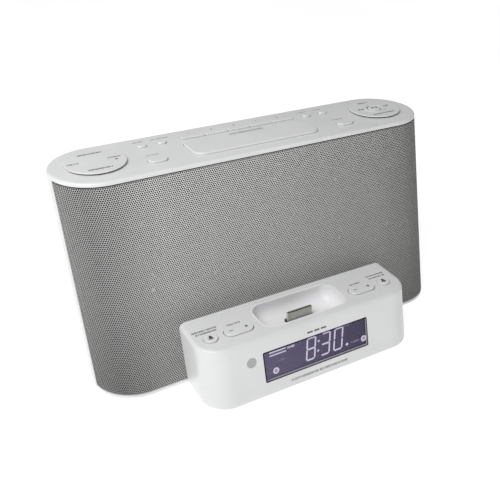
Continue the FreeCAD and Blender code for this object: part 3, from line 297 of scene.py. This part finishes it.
def printed_ink(name, colour, rough=0.55, shine=0.3):
    """Screen-printed ink: nearly flat, thinner in places."""
    nodes = Nodes(name)
    patchy = nodes.noise(1600, 3.0, 0.6)
    tint = nodes.ramp(patchy, (0.3, colour), (0.75, shade(colour, 1.3)))
    nodes.set(Base_Color=tint, Roughness=nodes.remap(patchy, rough - 0.05, rough + 0.08),
              Specular_IOR_Level=shine)
    return nodes.material


MATERIALS = {
    "white_plastic": moulded("white_abs", (0.745, 0.75, 0.75), gloss=0.30),
    "key_plastic": moulded("key_abs", (0.75, 0.755, 0.755), gloss=0.28, grain=3200, depth=0.00002),
    "black_plastic": moulded("black_abs", (0.018, 0.018, 0.019), gloss=0.45, spread=0.2),
    "grille_metal": grille_paint_with_painted_shade(),
    "clear_window": clear_pane("window_pane", (0.93, 0.92, 0.95), 0.03),
    "lcd_glass": lcd_glass(),
    "backlight": glowing("light_guide", (0.85, 0.85, 0.92), 0.2),
    "smoked_lens": moulded("sensor_smoke", (0.40, 0.405, 0.41), gloss=0.18, grain=1500, depth=0.00001),
    "connector_metal": metal("connector_plating", (0.52, 0.515, 0.47), 0.42, (1.0, 1.0, 0.1),
                             metallic=0.5),
    "circuit_board": circuit_board(),
    "bare_aluminium": metal("extruded_aluminium", (0.78, 0.78, 0.79), 0.32, (1.0, 1.0, 0.04)),
    "tin_plate": metal("tin_plate", (0.66, 0.66, 0.65), 0.28, (0.1, 1.0, 1.0)),
    "ferrite": moulded("ferrite_ceramic", (0.045, 0.045, 0.047), gloss=0.5, grain=1800, depth=0.00008,
                       spread=0.3),
    "copper_wire": winding(),
    "ribbon_cable": ribbon(),
    "cell_steel": metal("cell_nickel", (0.68, 0.67, 0.64), 0.24, (1.0, 0.2, 1.0)),
    "screw_steel": metal("screw_zinc", (0.58, 0.58, 0.60), 0.30),
    "foot_rubber": rubber("foot_rubber"),
    "speaker_steel": metal("basket_black", (0.03, 0.03, 0.03), 0.42, metallic=0.2),
    "surround_rubber": rubber("surround_rubber", (0.018, 0.018, 0.018)),
    "cone_paper": baffle_felt(),
}
INK = printed_ink("label_ink", (0.125, 0.125, 0.128))
PALE_INK = printed_ink("pale_ink", (0.33, 0.33, 0.335))
CAPTION_INK = printed_ink("caption_ink", (0.24, 0.24, 0.245))
DARK_INK = printed_ink("icon_ink", (0.05, 0.05, 0.055))
# Painted shade: the holes' inner walls get a near-black steel so the holes read as dark as the shade
# inside them.
HOLE_WALL_SHADE = metal("hole_wall_painted_shade", (0.06, 0.06, 0.06), 0.55, metallic=0.3)
BORDER_INK = printed_ink("window_border_ink", (0.006, 0.006, 0.008), 0.5, shine=0.12)
DIGIT_LIGHT = glowing("digit_light", (0.84, 0.77, 0.92), 0.8)
DIM_LIGHT = glowing("dim_light", (0.45, 0.40, 0.56), 0.35)

for node_name, node in frame["nodes"].items():
    for material_slot in node.material_slots:
        material_slot.material = MATERIALS[SLOT_OF[node_name]]
for material_slot in frame["nodes"]["speaker_baffle"].material_slots:
    material_slot.material = MATERIALS["cone_paper"]
# Painted light: the dock well gets a lighter copy of the white plastic, standing in for light bouncing
# round inside it.
for material_slot in frame["nodes"]["dock_well"].material_slots:
    material_slot.material = moulded("well_abs_painted_light", (0.84, 0.84, 0.85), gloss=0.30)


# ---- mesh helpers --------------------------------------------------------------------------

def piece(name, vertices, faces, material, body, smooth=False):
    """A new mesh object in the row frame, riding on a body."""
    mesh = bpy.data.meshes.new(name)
    mesh.from_pydata(vertices, [], faces)
    mesh.materials.append(material)
    mesh.update()
    if smooth:
        mesh.shade_smooth()
    item = bpy.data.objects.new(name, mesh)
    bpy.context.scene.collection.objects.link(item)
    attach(item, body)
    return item


class Plane:
    """Maps a flat drawing's across, up and out to the row frame."""

    def __init__(self, origin, across, up, out):
        self.origin, self.across, self.up, self.out = origin, across, up, out

    def __call__(self, x, y, z=0.0):
        return self.origin + self.across * x + self.up * y + self.out * z


def slabs(plane, outlines, thick, lift=0.0):
    """Thin closed prisms on a plane, one for each outline; returns vertices and faces."""
    vertices, faces = [], []
    for outline in outlines:
        first, count = len(vertices), len(outline)
        vertices += [plane(x, y, lift) for x, y in outline]
        vertices += [plane(x, y, lift + thick) for x, y in outline]
        faces.append([first + k for k in reversed(range(count))])
        faces.append([first + count + k for k in range(count)])
        for k in range(count):
            after = (k + 1) % count
            faces.append([first + k, first + after, first + count + after, first + count + k])
    return vertices, faces


def bar(x0, x1, y0, y1):
    return [(x0, y0), (x1, y0), (x1, y1), (x0, y1)]


def disc(x, y, radius, count=28):
    turns = [2 * math.pi * k / count for k in range(count)]
    return [(x + radius * math.cos(a), y + radius * math.sin(a)) for a in turns]


def ring_quads(x, y, outer, inner, count=32):
    """A ring as a row of quads, each its own outline."""
    quads = []
    for k in range(count):
        a, b = 2 * math.pi * k / count, 2 * math.pi * (k + 1) / count
        quads.append([(x + inner * math.cos(a), y + inner * math.sin(a)),
                      (x + outer * math.cos(a), y + outer * math.sin(a)),
                      (x + outer * math.cos(b), y + outer * math.sin(b)),
                      (x + inner * math.cos(b), y + inner * math.sin(b))])
    return quads


SHORTEST_STROKE, LONGEST_STROKE = 0.5, 1.1
LETTER_GAP, WORD_GAP = 0.32, 0.8


def blind_text(x, y, width, tall, seed):
    """A row of small strokes with the weight of a printed caption, but no letters."""
    chooser = random.Random(seed)
    outlines = []
    foot, at, end = y - tall / 2, x - width / 2, x + width / 2
    while at < end - SHORTEST_STROKE / 2:
        stroke = min(chooser.uniform(SHORTEST_STROKE, LONGEST_STROKE), end - at)
        low, high = (0, tall) if chooser.random() < 0.6 else (0.18 * tall, 0.86 * tall)
        outlines.append(bar(at, at + stroke, foot + low, foot + high))
        at += stroke + (LETTER_GAP if chooser.random() < 0.82 else WORD_GAP)
    return outlines


def scaled(outlines):
    """Outlines drawn in millimetres, as metres."""
    return [[(x * MM, y * MM) for x, y in outline] for outline in outlines]


PRINT = 0.03 * MM


def printed(name, plane, outlines, material, body, lift=0.0):
    vertices, faces = slabs(plane, scaled(outlines), PRINT, lift)
    return piece(name, vertices, faces, material, body)


X_AXIS, Y_AXIS, Z_AXIS = Vector((1, 0, 0)), Vector((0, 1, 0)), Vector((0, 0, 1))


def level_plane(x, y, z):
    return Plane(Vector((x, y, z)), X_AXIS, Y_AXIS, Z_AXIS)


def box_top(name, sink=0.0):
    """A level plane in the middle of the top of a part's box, or sunk below it."""
    low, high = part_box(name)
    return level_plane((low.x + high.x) / 2, (low.y + high.y) / 2, high.z - sink)


# ---- perforated grille ---------------------------------------------------------------------

PITCH = 1.56 * MM
HOLE = 0.68 * MM
SHEET = 0.5 * MM
HEM = 0.7 * MM
TOP_GAP = 0.7 * MM
EDGE_OFFSET = 7.15 * MM
NOTCH_HALF = 75 * MM
NOTCH_TALL = 38.5 * MM
HEM_STEP = 2 * MM


class Sheet:
    """The grille's neutral sheet: s runs round the cabinet from the left, z is height."""

    def __init__(self):
        low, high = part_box("front_grille")
        self.bottom, self.top = low.z, high.z - TOP_GAP
        self.start = math.asin(EDGE_OFFSET / END_RADIUS)
        self.arc = END_RADIUS * (math.pi / 2 - self.start)
        self.length = 2 * self.arc + 2 * END_CENTRE

    def point(self, s, z, inset=0.0):
        radius = END_RADIUS - inset
        if s < self.arc:
            turn = self.start + s / END_RADIUS
            x, y = -END_CENTRE - radius * math.cos(turn), -radius * math.sin(turn)
        elif s > self.length - self.arc:
            turn = self.start + (self.length - s) / END_RADIUS
            x, y = END_CENTRE + radius * math.cos(turn), -radius * math.sin(turn)
        else:
            x, y = -END_CENTRE + s - self.arc, -radius
        return Vector((x, BASE_Y + SLOPE * (z - FLOOR_OF_SHELL) + y, z))

    def across(self, x):
        """The sheet's s at an x on the flat front."""
        return self.arc + END_CENTRE + x


def make_grille():
    """The cabinet's perforated sheet and the plain hem round it and round the module's notch."""
    sheet = Sheet()
    notch = (sheet.across(-NOTCH_HALF), sheet.across(NOTCH_HALF), shell_low.z + NOTCH_TALL)
    make_perforated_sheet(sheet, *notch)
    make_hem(sheet, *notch)


def make_perforated_sheet(sheet, window_left, window_right, window_top):
    row_step = PITCH * math.sqrt(3) / 2 * math.cos(LEAN)
    corner = PITCH / math.sqrt(3)
    turns = [math.radians(30 + 60 * k) for k in range(6)]
    flat = math.cos(LEAN)
    vertices, faces, shared = [], [], {}

    def vertex(s, z, inset=0.0):
        vertices.append(sheet.point(s, z, inset))
        return len(vertices) - 1

    def shared_vertex(s, z):
        key = (round(s * 1e6), round(z * 1e6))
        if key not in shared:
            shared[key] = vertex(s, z)
        return shared[key]

    def hexagon(s, z, radius, make, *inset):
        return [make(s + radius * math.cos(a), z + radius * math.sin(a) * flat, *inset) for a in turns]

    rows = int((sheet.top - sheet.bottom - HEM) / row_step)
    columns = int((sheet.length - 2 * HEM) / PITCH)
    left = (sheet.length - columns * PITCH) / 2
    for row in range(rows):
        z = sheet.bottom + HEM + (row + 0.5) * row_step
        for column in range(columns):
            s = left + (column + (0.25 if row % 2 else 0.75)) * PITCH
            if z < window_top and window_left < s < window_right:
                continue
            rim = hexagon(s, z, corner, shared_vertex)
            lip = hexagon(s, z, HOLE, vertex)
            inner = hexagon(s, z, HOLE, vertex, SHEET)
            for k in range(6):
                after = (k + 1) % 6
                faces.append((rim[k], rim[after], lip[after], lip[k]))
                faces.append((lip[k], lip[after], inner[after], inner[k]))
    grille = piece("grille_sheet", vertices, faces, MATERIALS["grille_metal"], "cabinet")
    # The hole walls take the painted-shade material.
    grille.data.materials.append(HOLE_WALL_SHADE)
    for index, face in enumerate(grille.data.polygons):
        face.material_index = index % 2
    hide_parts("front_grille")


def make_hem(sheet, window_left, window_right, window_top):
    strips = [
        (0, sheet.length, sheet.bottom, sheet.bottom + HEM),
        (0, HEM, sheet.bottom + HEM, sheet.top),
        (sheet.length - HEM, sheet.length, sheet.bottom + HEM, sheet.top),
        (window_left - HEM, window_left, sheet.bottom + HEM, window_top),
        (window_right, window_right + HEM, sheet.bottom + HEM, window_top),
        (window_left - HEM, window_right + HEM, window_top, window_top + HEM),
    ]
    vertices, faces = [], []
    for s0, s1, z0, z1 in strips:
        steps = max(1, int((s1 - s0) / HEM_STEP))
        first = len(vertices)
        for k in range(steps + 1):
            s = s0 + (s1 - s0) * k / steps
            for z, inset in ((z0, SHEET), (z0, 0), (z1, 0), (z1, SHEET)):
                vertices.append(sheet.point(s, z, inset))
        for k in range(steps):
            a, b = first + 4 * k, first + 4 * k + 4
            for one, two in ((0, 1), (1, 2), (2, 3), (3, 0)):
                faces.append((a + one, b + one, b + two, a + two))
        last = first + 4 * steps
        faces += [(first, first + 1, first + 2, first + 3), (last + 3, last + 2, last + 1, last)]
    piece("grille_hem", vertices, faces, MATERIALS["grille_metal"], "cabinet")


# ---- display -------------------------------------------------------------------------------

SEGMENTS = {"0": "abcdef", "3": "abcdg", "8": "abcdefg"}
DIGIT_WIDE, DIGIT_TALL, STROKE = 8.3, 18.2, 1.3
SLANT = math.tan(math.radians(9))


def segment(kind, x, y):
    """One stroke of a seven-part digit whose lower left corner is at x, y."""
    w, h, t, g = DIGIT_WIDE, DIGIT_TALL, STROKE, 0.18
    half = t / 2
    across = [(t / 2 + g, 0), (t + g * 0.5, half), (w - t - g * 0.5, half), (w - t / 2 - g, 0),
              (w - t - g * 0.5, -half), (t + g * 0.5, -half)]
    if kind in "agd":
        level = {"a": h - half, "g": h / 2, "d": half}[kind]
        return [(x + px, y + level + py) for px, py in across]
    side = w - half if kind in "bc" else half
    low, high = (h / 2, h - half) if kind in "bf" else (half, h / 2)
    near, far = low + half + g * 0.5, high - half - g * 0.5
    stand = [(side, low + g), (side + half, near), (side + half, far), (side, high - g),
             (side - half, far), (side - half, near)]
    return [(x + px, y + py) for px, py in stand]


def slanted(outlines, level):
    return [[(x + (y - level) * SLANT, y) for x, y in outline] for outline in outlines]


PANE_THICK = 1.7 * MM
PANE_TALL = 23.9 * MM
PANEL_DEPTH = 1.8 * MM
PANE_INSET = 0.1 * MM


def pane_plane():
    """The front face of the display's pane, with its middle as the origin."""
    low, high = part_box("display_window")
    return Plane((low + high) / 2 + FACE_OUT * PANE_THICK / 2, X_AXIS, FACE_UP, FACE_OUT)


def make_display():
    face = pane_plane()
    mark = -PANEL_DEPTH + 0.02 * MM
    base = -7.8
    digits = []
    for figure, x in (("8", -10.3), ("3", 2.4), ("0", 13.7)):
        digits += [segment(kind, x, base) for kind in SEGMENTS[figure]]
    digits += [bar(-0.5, 1.0, base + level, base + level + 1.5) for level in (4.6, 12.2)]
    printed("display_digits", face, slanted(digits, base), DIGIT_LIGHT, "cabinet", mark)
    bright = [bar(-38.9, -25.4, level, level + 1.0) for level in (8.6, 6.2)]
    bright += blind_text(-20.9, 8.6, 6.0, 1.9, 3)
    for x in (-35.0, 42.0):
        bright += ring_quads(x, -6.0, 2.5, 1.1) + [disc(x, -6.0, 0.5)]
    bright += [[(26.6, -7.2), (28.0, -5.8), (26.6, -4.4), (25.2, -5.8)]]
    printed("display_marks", face, bright, DIGIT_LIGHT, "cabinet", mark)
    dim = blind_text(26.4, 9.7, 6.0, 1.2, 21) + blind_text(34.2, -5.6, 8.0, 1.8, 23)
    dim += blind_text(-29.4, 1.0, 5.6, 1.2, 12)
    printed("display_dim_marks", face, dim, DIM_LIGHT, "cabinet", mark)
    make_window_border(face)


def make_window_border(face):
    """The black frame printed round the pane's face."""
    low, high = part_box("display_window")
    wide, tall = (high.x - low.x) / 2 - 0.05 * MM, PANE_TALL / 2 - 0.05 * MM
    edge = 0.85 * MM
    loops = [rounded_outline(wide, tall, 1.15 * MM), rounded_outline(wide - edge, tall - edge, 0.4 * MM)]
    vertices = [face(x, y, lift) for lift in (PRINT, 0) for loop in loops for x, y in loop]
    count = len(loops[0])
    faces = []
    for k in range(count):
        after = (k + 1) % count
        for a, b in ((0, 1), (1, 3), (3, 2), (2, 0)):
            faces.append((a * count + k, a * count + after, b * count + after, b * count + k))
    piece("window_border", vertices, faces, BORDER_INK, "cabinet")


def rounded_outline(half_wide, half_tall, radius, steps=8):
    outline = []
    for quarter, (sx, sy) in enumerate(((1, -1), (1, 1), (-1, 1), (-1, -1))):
        for k in range(steps + 1):
            turn = math.radians(-90 + 90 * quarter + 90 * k / steps)
            outline.append((sx * (half_wide - radius) + radius * math.cos(turn),
                            sy * (half_tall - radius) + radius * math.sin(turn)))
    return outline


# ---- dock connector ------------------------------------------------------------------------

def make_connector():
    """The dock's tongue: a plated shell round a dark core with a row of contacts."""
    low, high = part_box("dock_connector")
    centre = (low + high) / 2
    shell_wide, shell_thick, wall = 10.6 * MM, 1.3 * MM, 0.3 * MM
    block_top = low.z + 6 * MM
    parts = [
        ("connector_block", rounded_outline(11.4 * MM, 3.1 * MM, 1.0 * MM), low.z, block_top,
         MATERIALS["black_plastic"], "black_plastic"),
        ("connector_core", rounded_outline(shell_wide - wall, shell_thick - wall, 0.4 * MM), block_top,
         high.z - 0.5 * MM, MATERIALS["black_plastic"], "black_plastic"),
    ]
    made = []
    for name, outline, z0, z1, material, record_slot in parts:
        plane = level_plane(centre.x, centre.y, z0)
        vertices, faces = slabs(plane, [outline], z1 - z0)
        made.append(piece(name, vertices, faces, material, "cabinet"))
    outer = rounded_outline(shell_wide, shell_thick, 0.6 * MM)
    inner = rounded_outline(shell_wide - wall, shell_thick - wall, 0.4 * MM)
    count = len(outer)
    vertices = []
    for outline, z in ((outer, block_top), (outer, high.z), (inner, high.z), (inner, block_top)):
        vertices += [Vector((centre.x + x, centre.y + y, z)) for x, y in outline]
    faces = []
    for k in range(count):
        after = (k + 1) % count
        for loop in range(4):
            a, b = loop * count, (loop + 1) % 4 * count
            faces.append((a + k, a + after, b + after, b + k))
    shell = piece("connector_shell", vertices, faces, MATERIALS["connector_metal"], "cabinet")
    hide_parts("dock_connector")
    last, reach, half_wide, half_deep = 29, 9.4, 0.17, 0.62
    contacts = []
    for k in range(last + 1):
        x = -reach + k * 2 * reach / last
        contacts.append(bar(x - half_wide, x + half_wide, -half_deep, half_deep))
    plane = level_plane(centre.x, centre.y, high.z - 0.5 * MM)
    vertices, faces = slabs(plane, scaled(contacts), 0.12 * MM)
    piece("connector_contacts", vertices, faces, MATERIALS["cell_steel"], "cabinet")


# ---- printed marks -------------------------------------------------------------------------

PAD_RING_RISE = 0.4 * MM


def make_top_marks():
    cover = level_plane(0, TOP_Y, TOP_Z)
    small = []
    for x, width, seed in ((-79.3, 7.5, 31), (-62.5, 13.5, 32), (61.0, 8.5, 33), (75.5, 7.5, 34)):
        small += blind_text(x, 24.0, width, 1.9, seed)
    small += blind_text(-78.0, -4.0, 9.5, 1.7, 35) + blind_text(77.5, -4.0, 11.0, 1.7, 36)
    printed("cover_captions", cover, small, PALE_INK, "cabinet")
    numerals(cover)
    bar_top = level_plane(0, TOP_Y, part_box("snooze_bar")[1].z)
    printed("snooze_caption", bar_top, blind_text(0, 3.6, 28, 3.2, 37), PALE_INK, "snooze_bar")

    left = box_top("left_pad")
    marks = blind_text(-0.1, 14.6, 17.6, 2.2, 41) + blind_text(-0.1, -13.8, 17.0, 2.2, 42)
    marks += blind_text(-15.2, 1.4, 8.4, 2.0, 43) + blind_text(13.6, 1.6, 9.0, 2.0, 44)
    marks += [disc(13.6, -2.6, 1.0)]
    printed("left_pad_captions", left, marks, INK, "left_pad")

    right = box_top("right_pad", sink=PAD_RING_RISE)
    marks = blind_text(-1.0, 15.2, 9.5, 2.0, 51) + blind_text(0.2, -13.2, 20.0, 2.2, 52)
    marks += [[(-15.6, 1.8), (-12.6, 3.4), (-12.6, 0.2)], [(-12.4, 1.8), (-9.4, 3.4), (-9.4, 0.2)]]
    marks += [[(15.4, 1.0), (12.4, 2.6), (12.4, -0.6)], [(12.2, 1.0), (9.2, 2.6), (9.2, -0.6)]]
    printed("right_pad_marks", right, marks, INK, "right_pad")
    button = box_top("right_pad_button")
    play = [[(-2.6, 1.8), (-2.6, -1.8), (0.2, 0)], bar(1.0, 1.7, -1.7, 1.7), bar(2.4, 3.1, -1.7, 1.7)]
    printed("play_mark", button, play, INK, "right_pad_button")


FIGURES = {
    "1": [bar(0.45, 0.75, 0, 2.2), bar(0.2, 0.5, 1.6, 1.9)],
    "2": [bar(0, 1.2, 1.9, 2.2), bar(0.9, 1.2, 1.1, 1.9), bar(0, 1.2, 0.95, 1.25), bar(0, 0.3, 0.3, 0.95),
          bar(0, 1.2, 0, 0.3)],
    "3": [bar(0, 1.2, 1.9, 2.2), bar(0.9, 1.2, 0.3, 1.9), bar(0.2, 0.9, 0.95, 1.25), bar(0, 1.2, 0, 0.3)],
    "4": [bar(0, 0.3, 1.0, 2.2), bar(0, 1.2, 0.85, 1.15), bar(0.9, 1.2, 0, 2.2)],
    "5": [bar(0, 1.2, 1.9, 2.2), bar(0, 0.3, 1.1, 1.9), bar(0, 1.2, 0.95, 1.25), bar(0.9, 1.2, 0.3, 0.95),
          bar(0, 1.2, 0, 0.3)],
}


def numerals(cover):
    """Plain figures behind the preset keys."""
    outlines = []
    for index, strokes in enumerate(FIGURES.values(), start=1):
        low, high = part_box(f"preset_key_{index}")
        middle = (low.x + high.x) / 2 / MM
        outlines += [[(x + middle - 0.6, y + 22.6) for x, y in stroke] for stroke in strokes]
    printed("preset_figures", cover, outlines, INK, "cabinet")


BELL = [(-1.7, -1.2), (1.7, -1.2), (1.2, 0.4), (0.9, 1.6), (0.0, 2.2), (-0.9, 1.6), (-1.2, 0.4)]


def make_module_marks():
    top = level_plane(0, BASE_Y, MODULE_TOP)
    captions = blind_text(-75.8, -37.9, 19.0, 1.8, 61) + blind_text(-75.6, -41.0, 16.0, 1.8, 62)
    captions += blind_text(-54.0, -40.8, 10.0, 1.7, 63) + blind_text(52.3, -40.3, 9.5, 1.7, 64)
    captions += blind_text(73.8, -36.8, 17.0, 1.8, 65) + blind_text(73.8, -40.2, 15.0, 1.8, 66)
    printed("module_captions", top, captions, INK, "cabinet")
    for name in ("rocker_left", "rocker_right"):
        plane = box_top(name)
        marks = [bar(-7.4, -4.4, -0.4, 0.4), bar(4.7, 7.3, -0.45, 0.45), bar(5.55, 6.45, -1.3, 1.3)]
        printed(f"{name}_marks", plane, marks, INK, name)
    for name in ("alarm_key_left", "alarm_key_right"):
        plane = box_top(name)
        marks = [BELL, bar(-2.3, 2.3, -1.9, -1.4), disc(0, -2.2, 0.5)]
        printed(f"{name}_mark", plane, marks, DARK_INK, name)
    face = pane_plane()
    below = blind_text(0.5, -17.0, 50, 1.9, 71)
    printed("face_caption", face, below, CAPTION_INK, "cabinet", lift=PANE_INSET)
    badge = [bar(x, x + 4.6, 14.9, 16.3) for x in (-7.6, -1.8, 4.0)]
    printed("face_badge", face, badge, INK, "cabinet", lift=PANE_INSET)


# ---- stage ---------------------------------------------------------------------------------

ROOM_BRIGHT_SIDE = (-0.45, -0.37, 0.81)
ROOM_DIM, ROOM_BRIGHT = 0.05, 0.50


def make_stage():
    """A plain white floor with a faint glow of its own."""
    mesh = bpy.data.meshes.new("floor")
    reach = 6.0
    mesh.from_pydata([(-reach, -reach, 0), (reach, -reach, 0), (reach, reach, 0), (-reach, reach, 0)],
                     [], [(0, 1, 2, 3)])
    floor = bpy.data.objects.new("floor", mesh)
    bpy.context.scene.collection.objects.link(floor)
    nodes = Nodes("floor_paper")
    white = nodes.ramp(nodes.noise(3, 2.0), (0.3, (0.97, 0.97, 0.97)), (0.7, (1.0, 1.0, 1.0)))
    nodes.set(Base_Color=(0.55, 0.55, 0.55, 1.0), Roughness=0.9, Specular_IOR_Level=0.0,
              Emission_Color=white, Emission_Strength=0.78)
    mesh.materials.append(nodes.material)


def make_world():
    """A soft room: brightest to the front left, dim behind and to the right."""
    world = bpy.data.worlds.new("studio")
    world.use_nodes = True
    tree = world.node_tree
    background = tree.nodes["Background"]
    direction = tree.nodes.new("ShaderNodeTexCoord").outputs["Generated"]
    towards = tree.nodes.new("ShaderNodeVectorMath")
    towards.operation = "DOT_PRODUCT"
    tree.links.new(direction, towards.inputs[0])
    towards.inputs[1].default_value = ROOM_BRIGHT_SIDE
    level = tree.nodes.new("ShaderNodeMapRange")
    tree.links.new(towards.outputs["Value"], level.inputs["Value"])
    level.inputs["From Min"].default_value = -1.0
    level.inputs["To Min"].default_value = ROOM_DIM
    level.inputs["To Max"].default_value = ROOM_BRIGHT
    tree.links.new(level.outputs["Result"], background.inputs["Strength"])
    background.inputs["Color"].default_value = (1.0, 1.0, 1.0, 1.0)
    bpy.context.scene.world = world
    bpy.context.scene.view_settings.view_transform = "Standard"


def soft_light(name, position, target, size, watts):
    lamp = bpy.data.lights.new(name, "AREA")
    lamp.shape = "DISK"
    lamp.size = size
    lamp.energy = watts
    item = bpy.data.objects.new(name, lamp)
    item.location = position
    item.rotation_mode = "QUATERNION"
    item.rotation_quaternion = (Vector(target) - Vector(position)).to_track_quat("-Z", "Y")
    bpy.context.scene.collection.objects.link(item)


def make_lights():
    centre = (CAD_BOX[0] + CAD_BOX[1]) / 2
    soft_light("key_light", centre + Vector((-0.42, -0.18, 0.61)), centre, 0.5, 3.6)


def make_camera():
    """A camera to the front left and above, fitted to the cabinet's corners."""
    azimuth, elevation, roll = math.radians(-29.68), math.radians(30.59), math.radians(0.3)
    distance = 523.7 * MM
    middle = (CAD_BOX[0] + CAD_BOX[1]) / 2
    target = middle + Vector((6.1, 3.72, -11.67)) * MM
    back = Vector((math.sin(azimuth) * math.cos(elevation), -math.cos(azimuth) * math.cos(elevation),
                   math.sin(elevation)))
    camera = bpy.data.cameras.new("camera")
    camera.sensor_width = 36
    camera.lens = 47.88
    camera.shift_x, camera.shift_y = -0.0568, 0.0074
    item = bpy.data.objects.new("camera", camera)
    item.location = target + back * distance
    item.rotation_mode = "QUATERNION"
    item.rotation_quaternion = (-back).to_track_quat("-Z", "Y") @ Quaternion((0, 0, 1), roll)
    bpy.context.scene.collection.objects.link(item)
    bpy.context.scene.camera = item


make_grille()
make_display()
make_connector()
make_top_marks()
make_module_marks()
make_stage()
make_world()
make_lights()
make_camera()
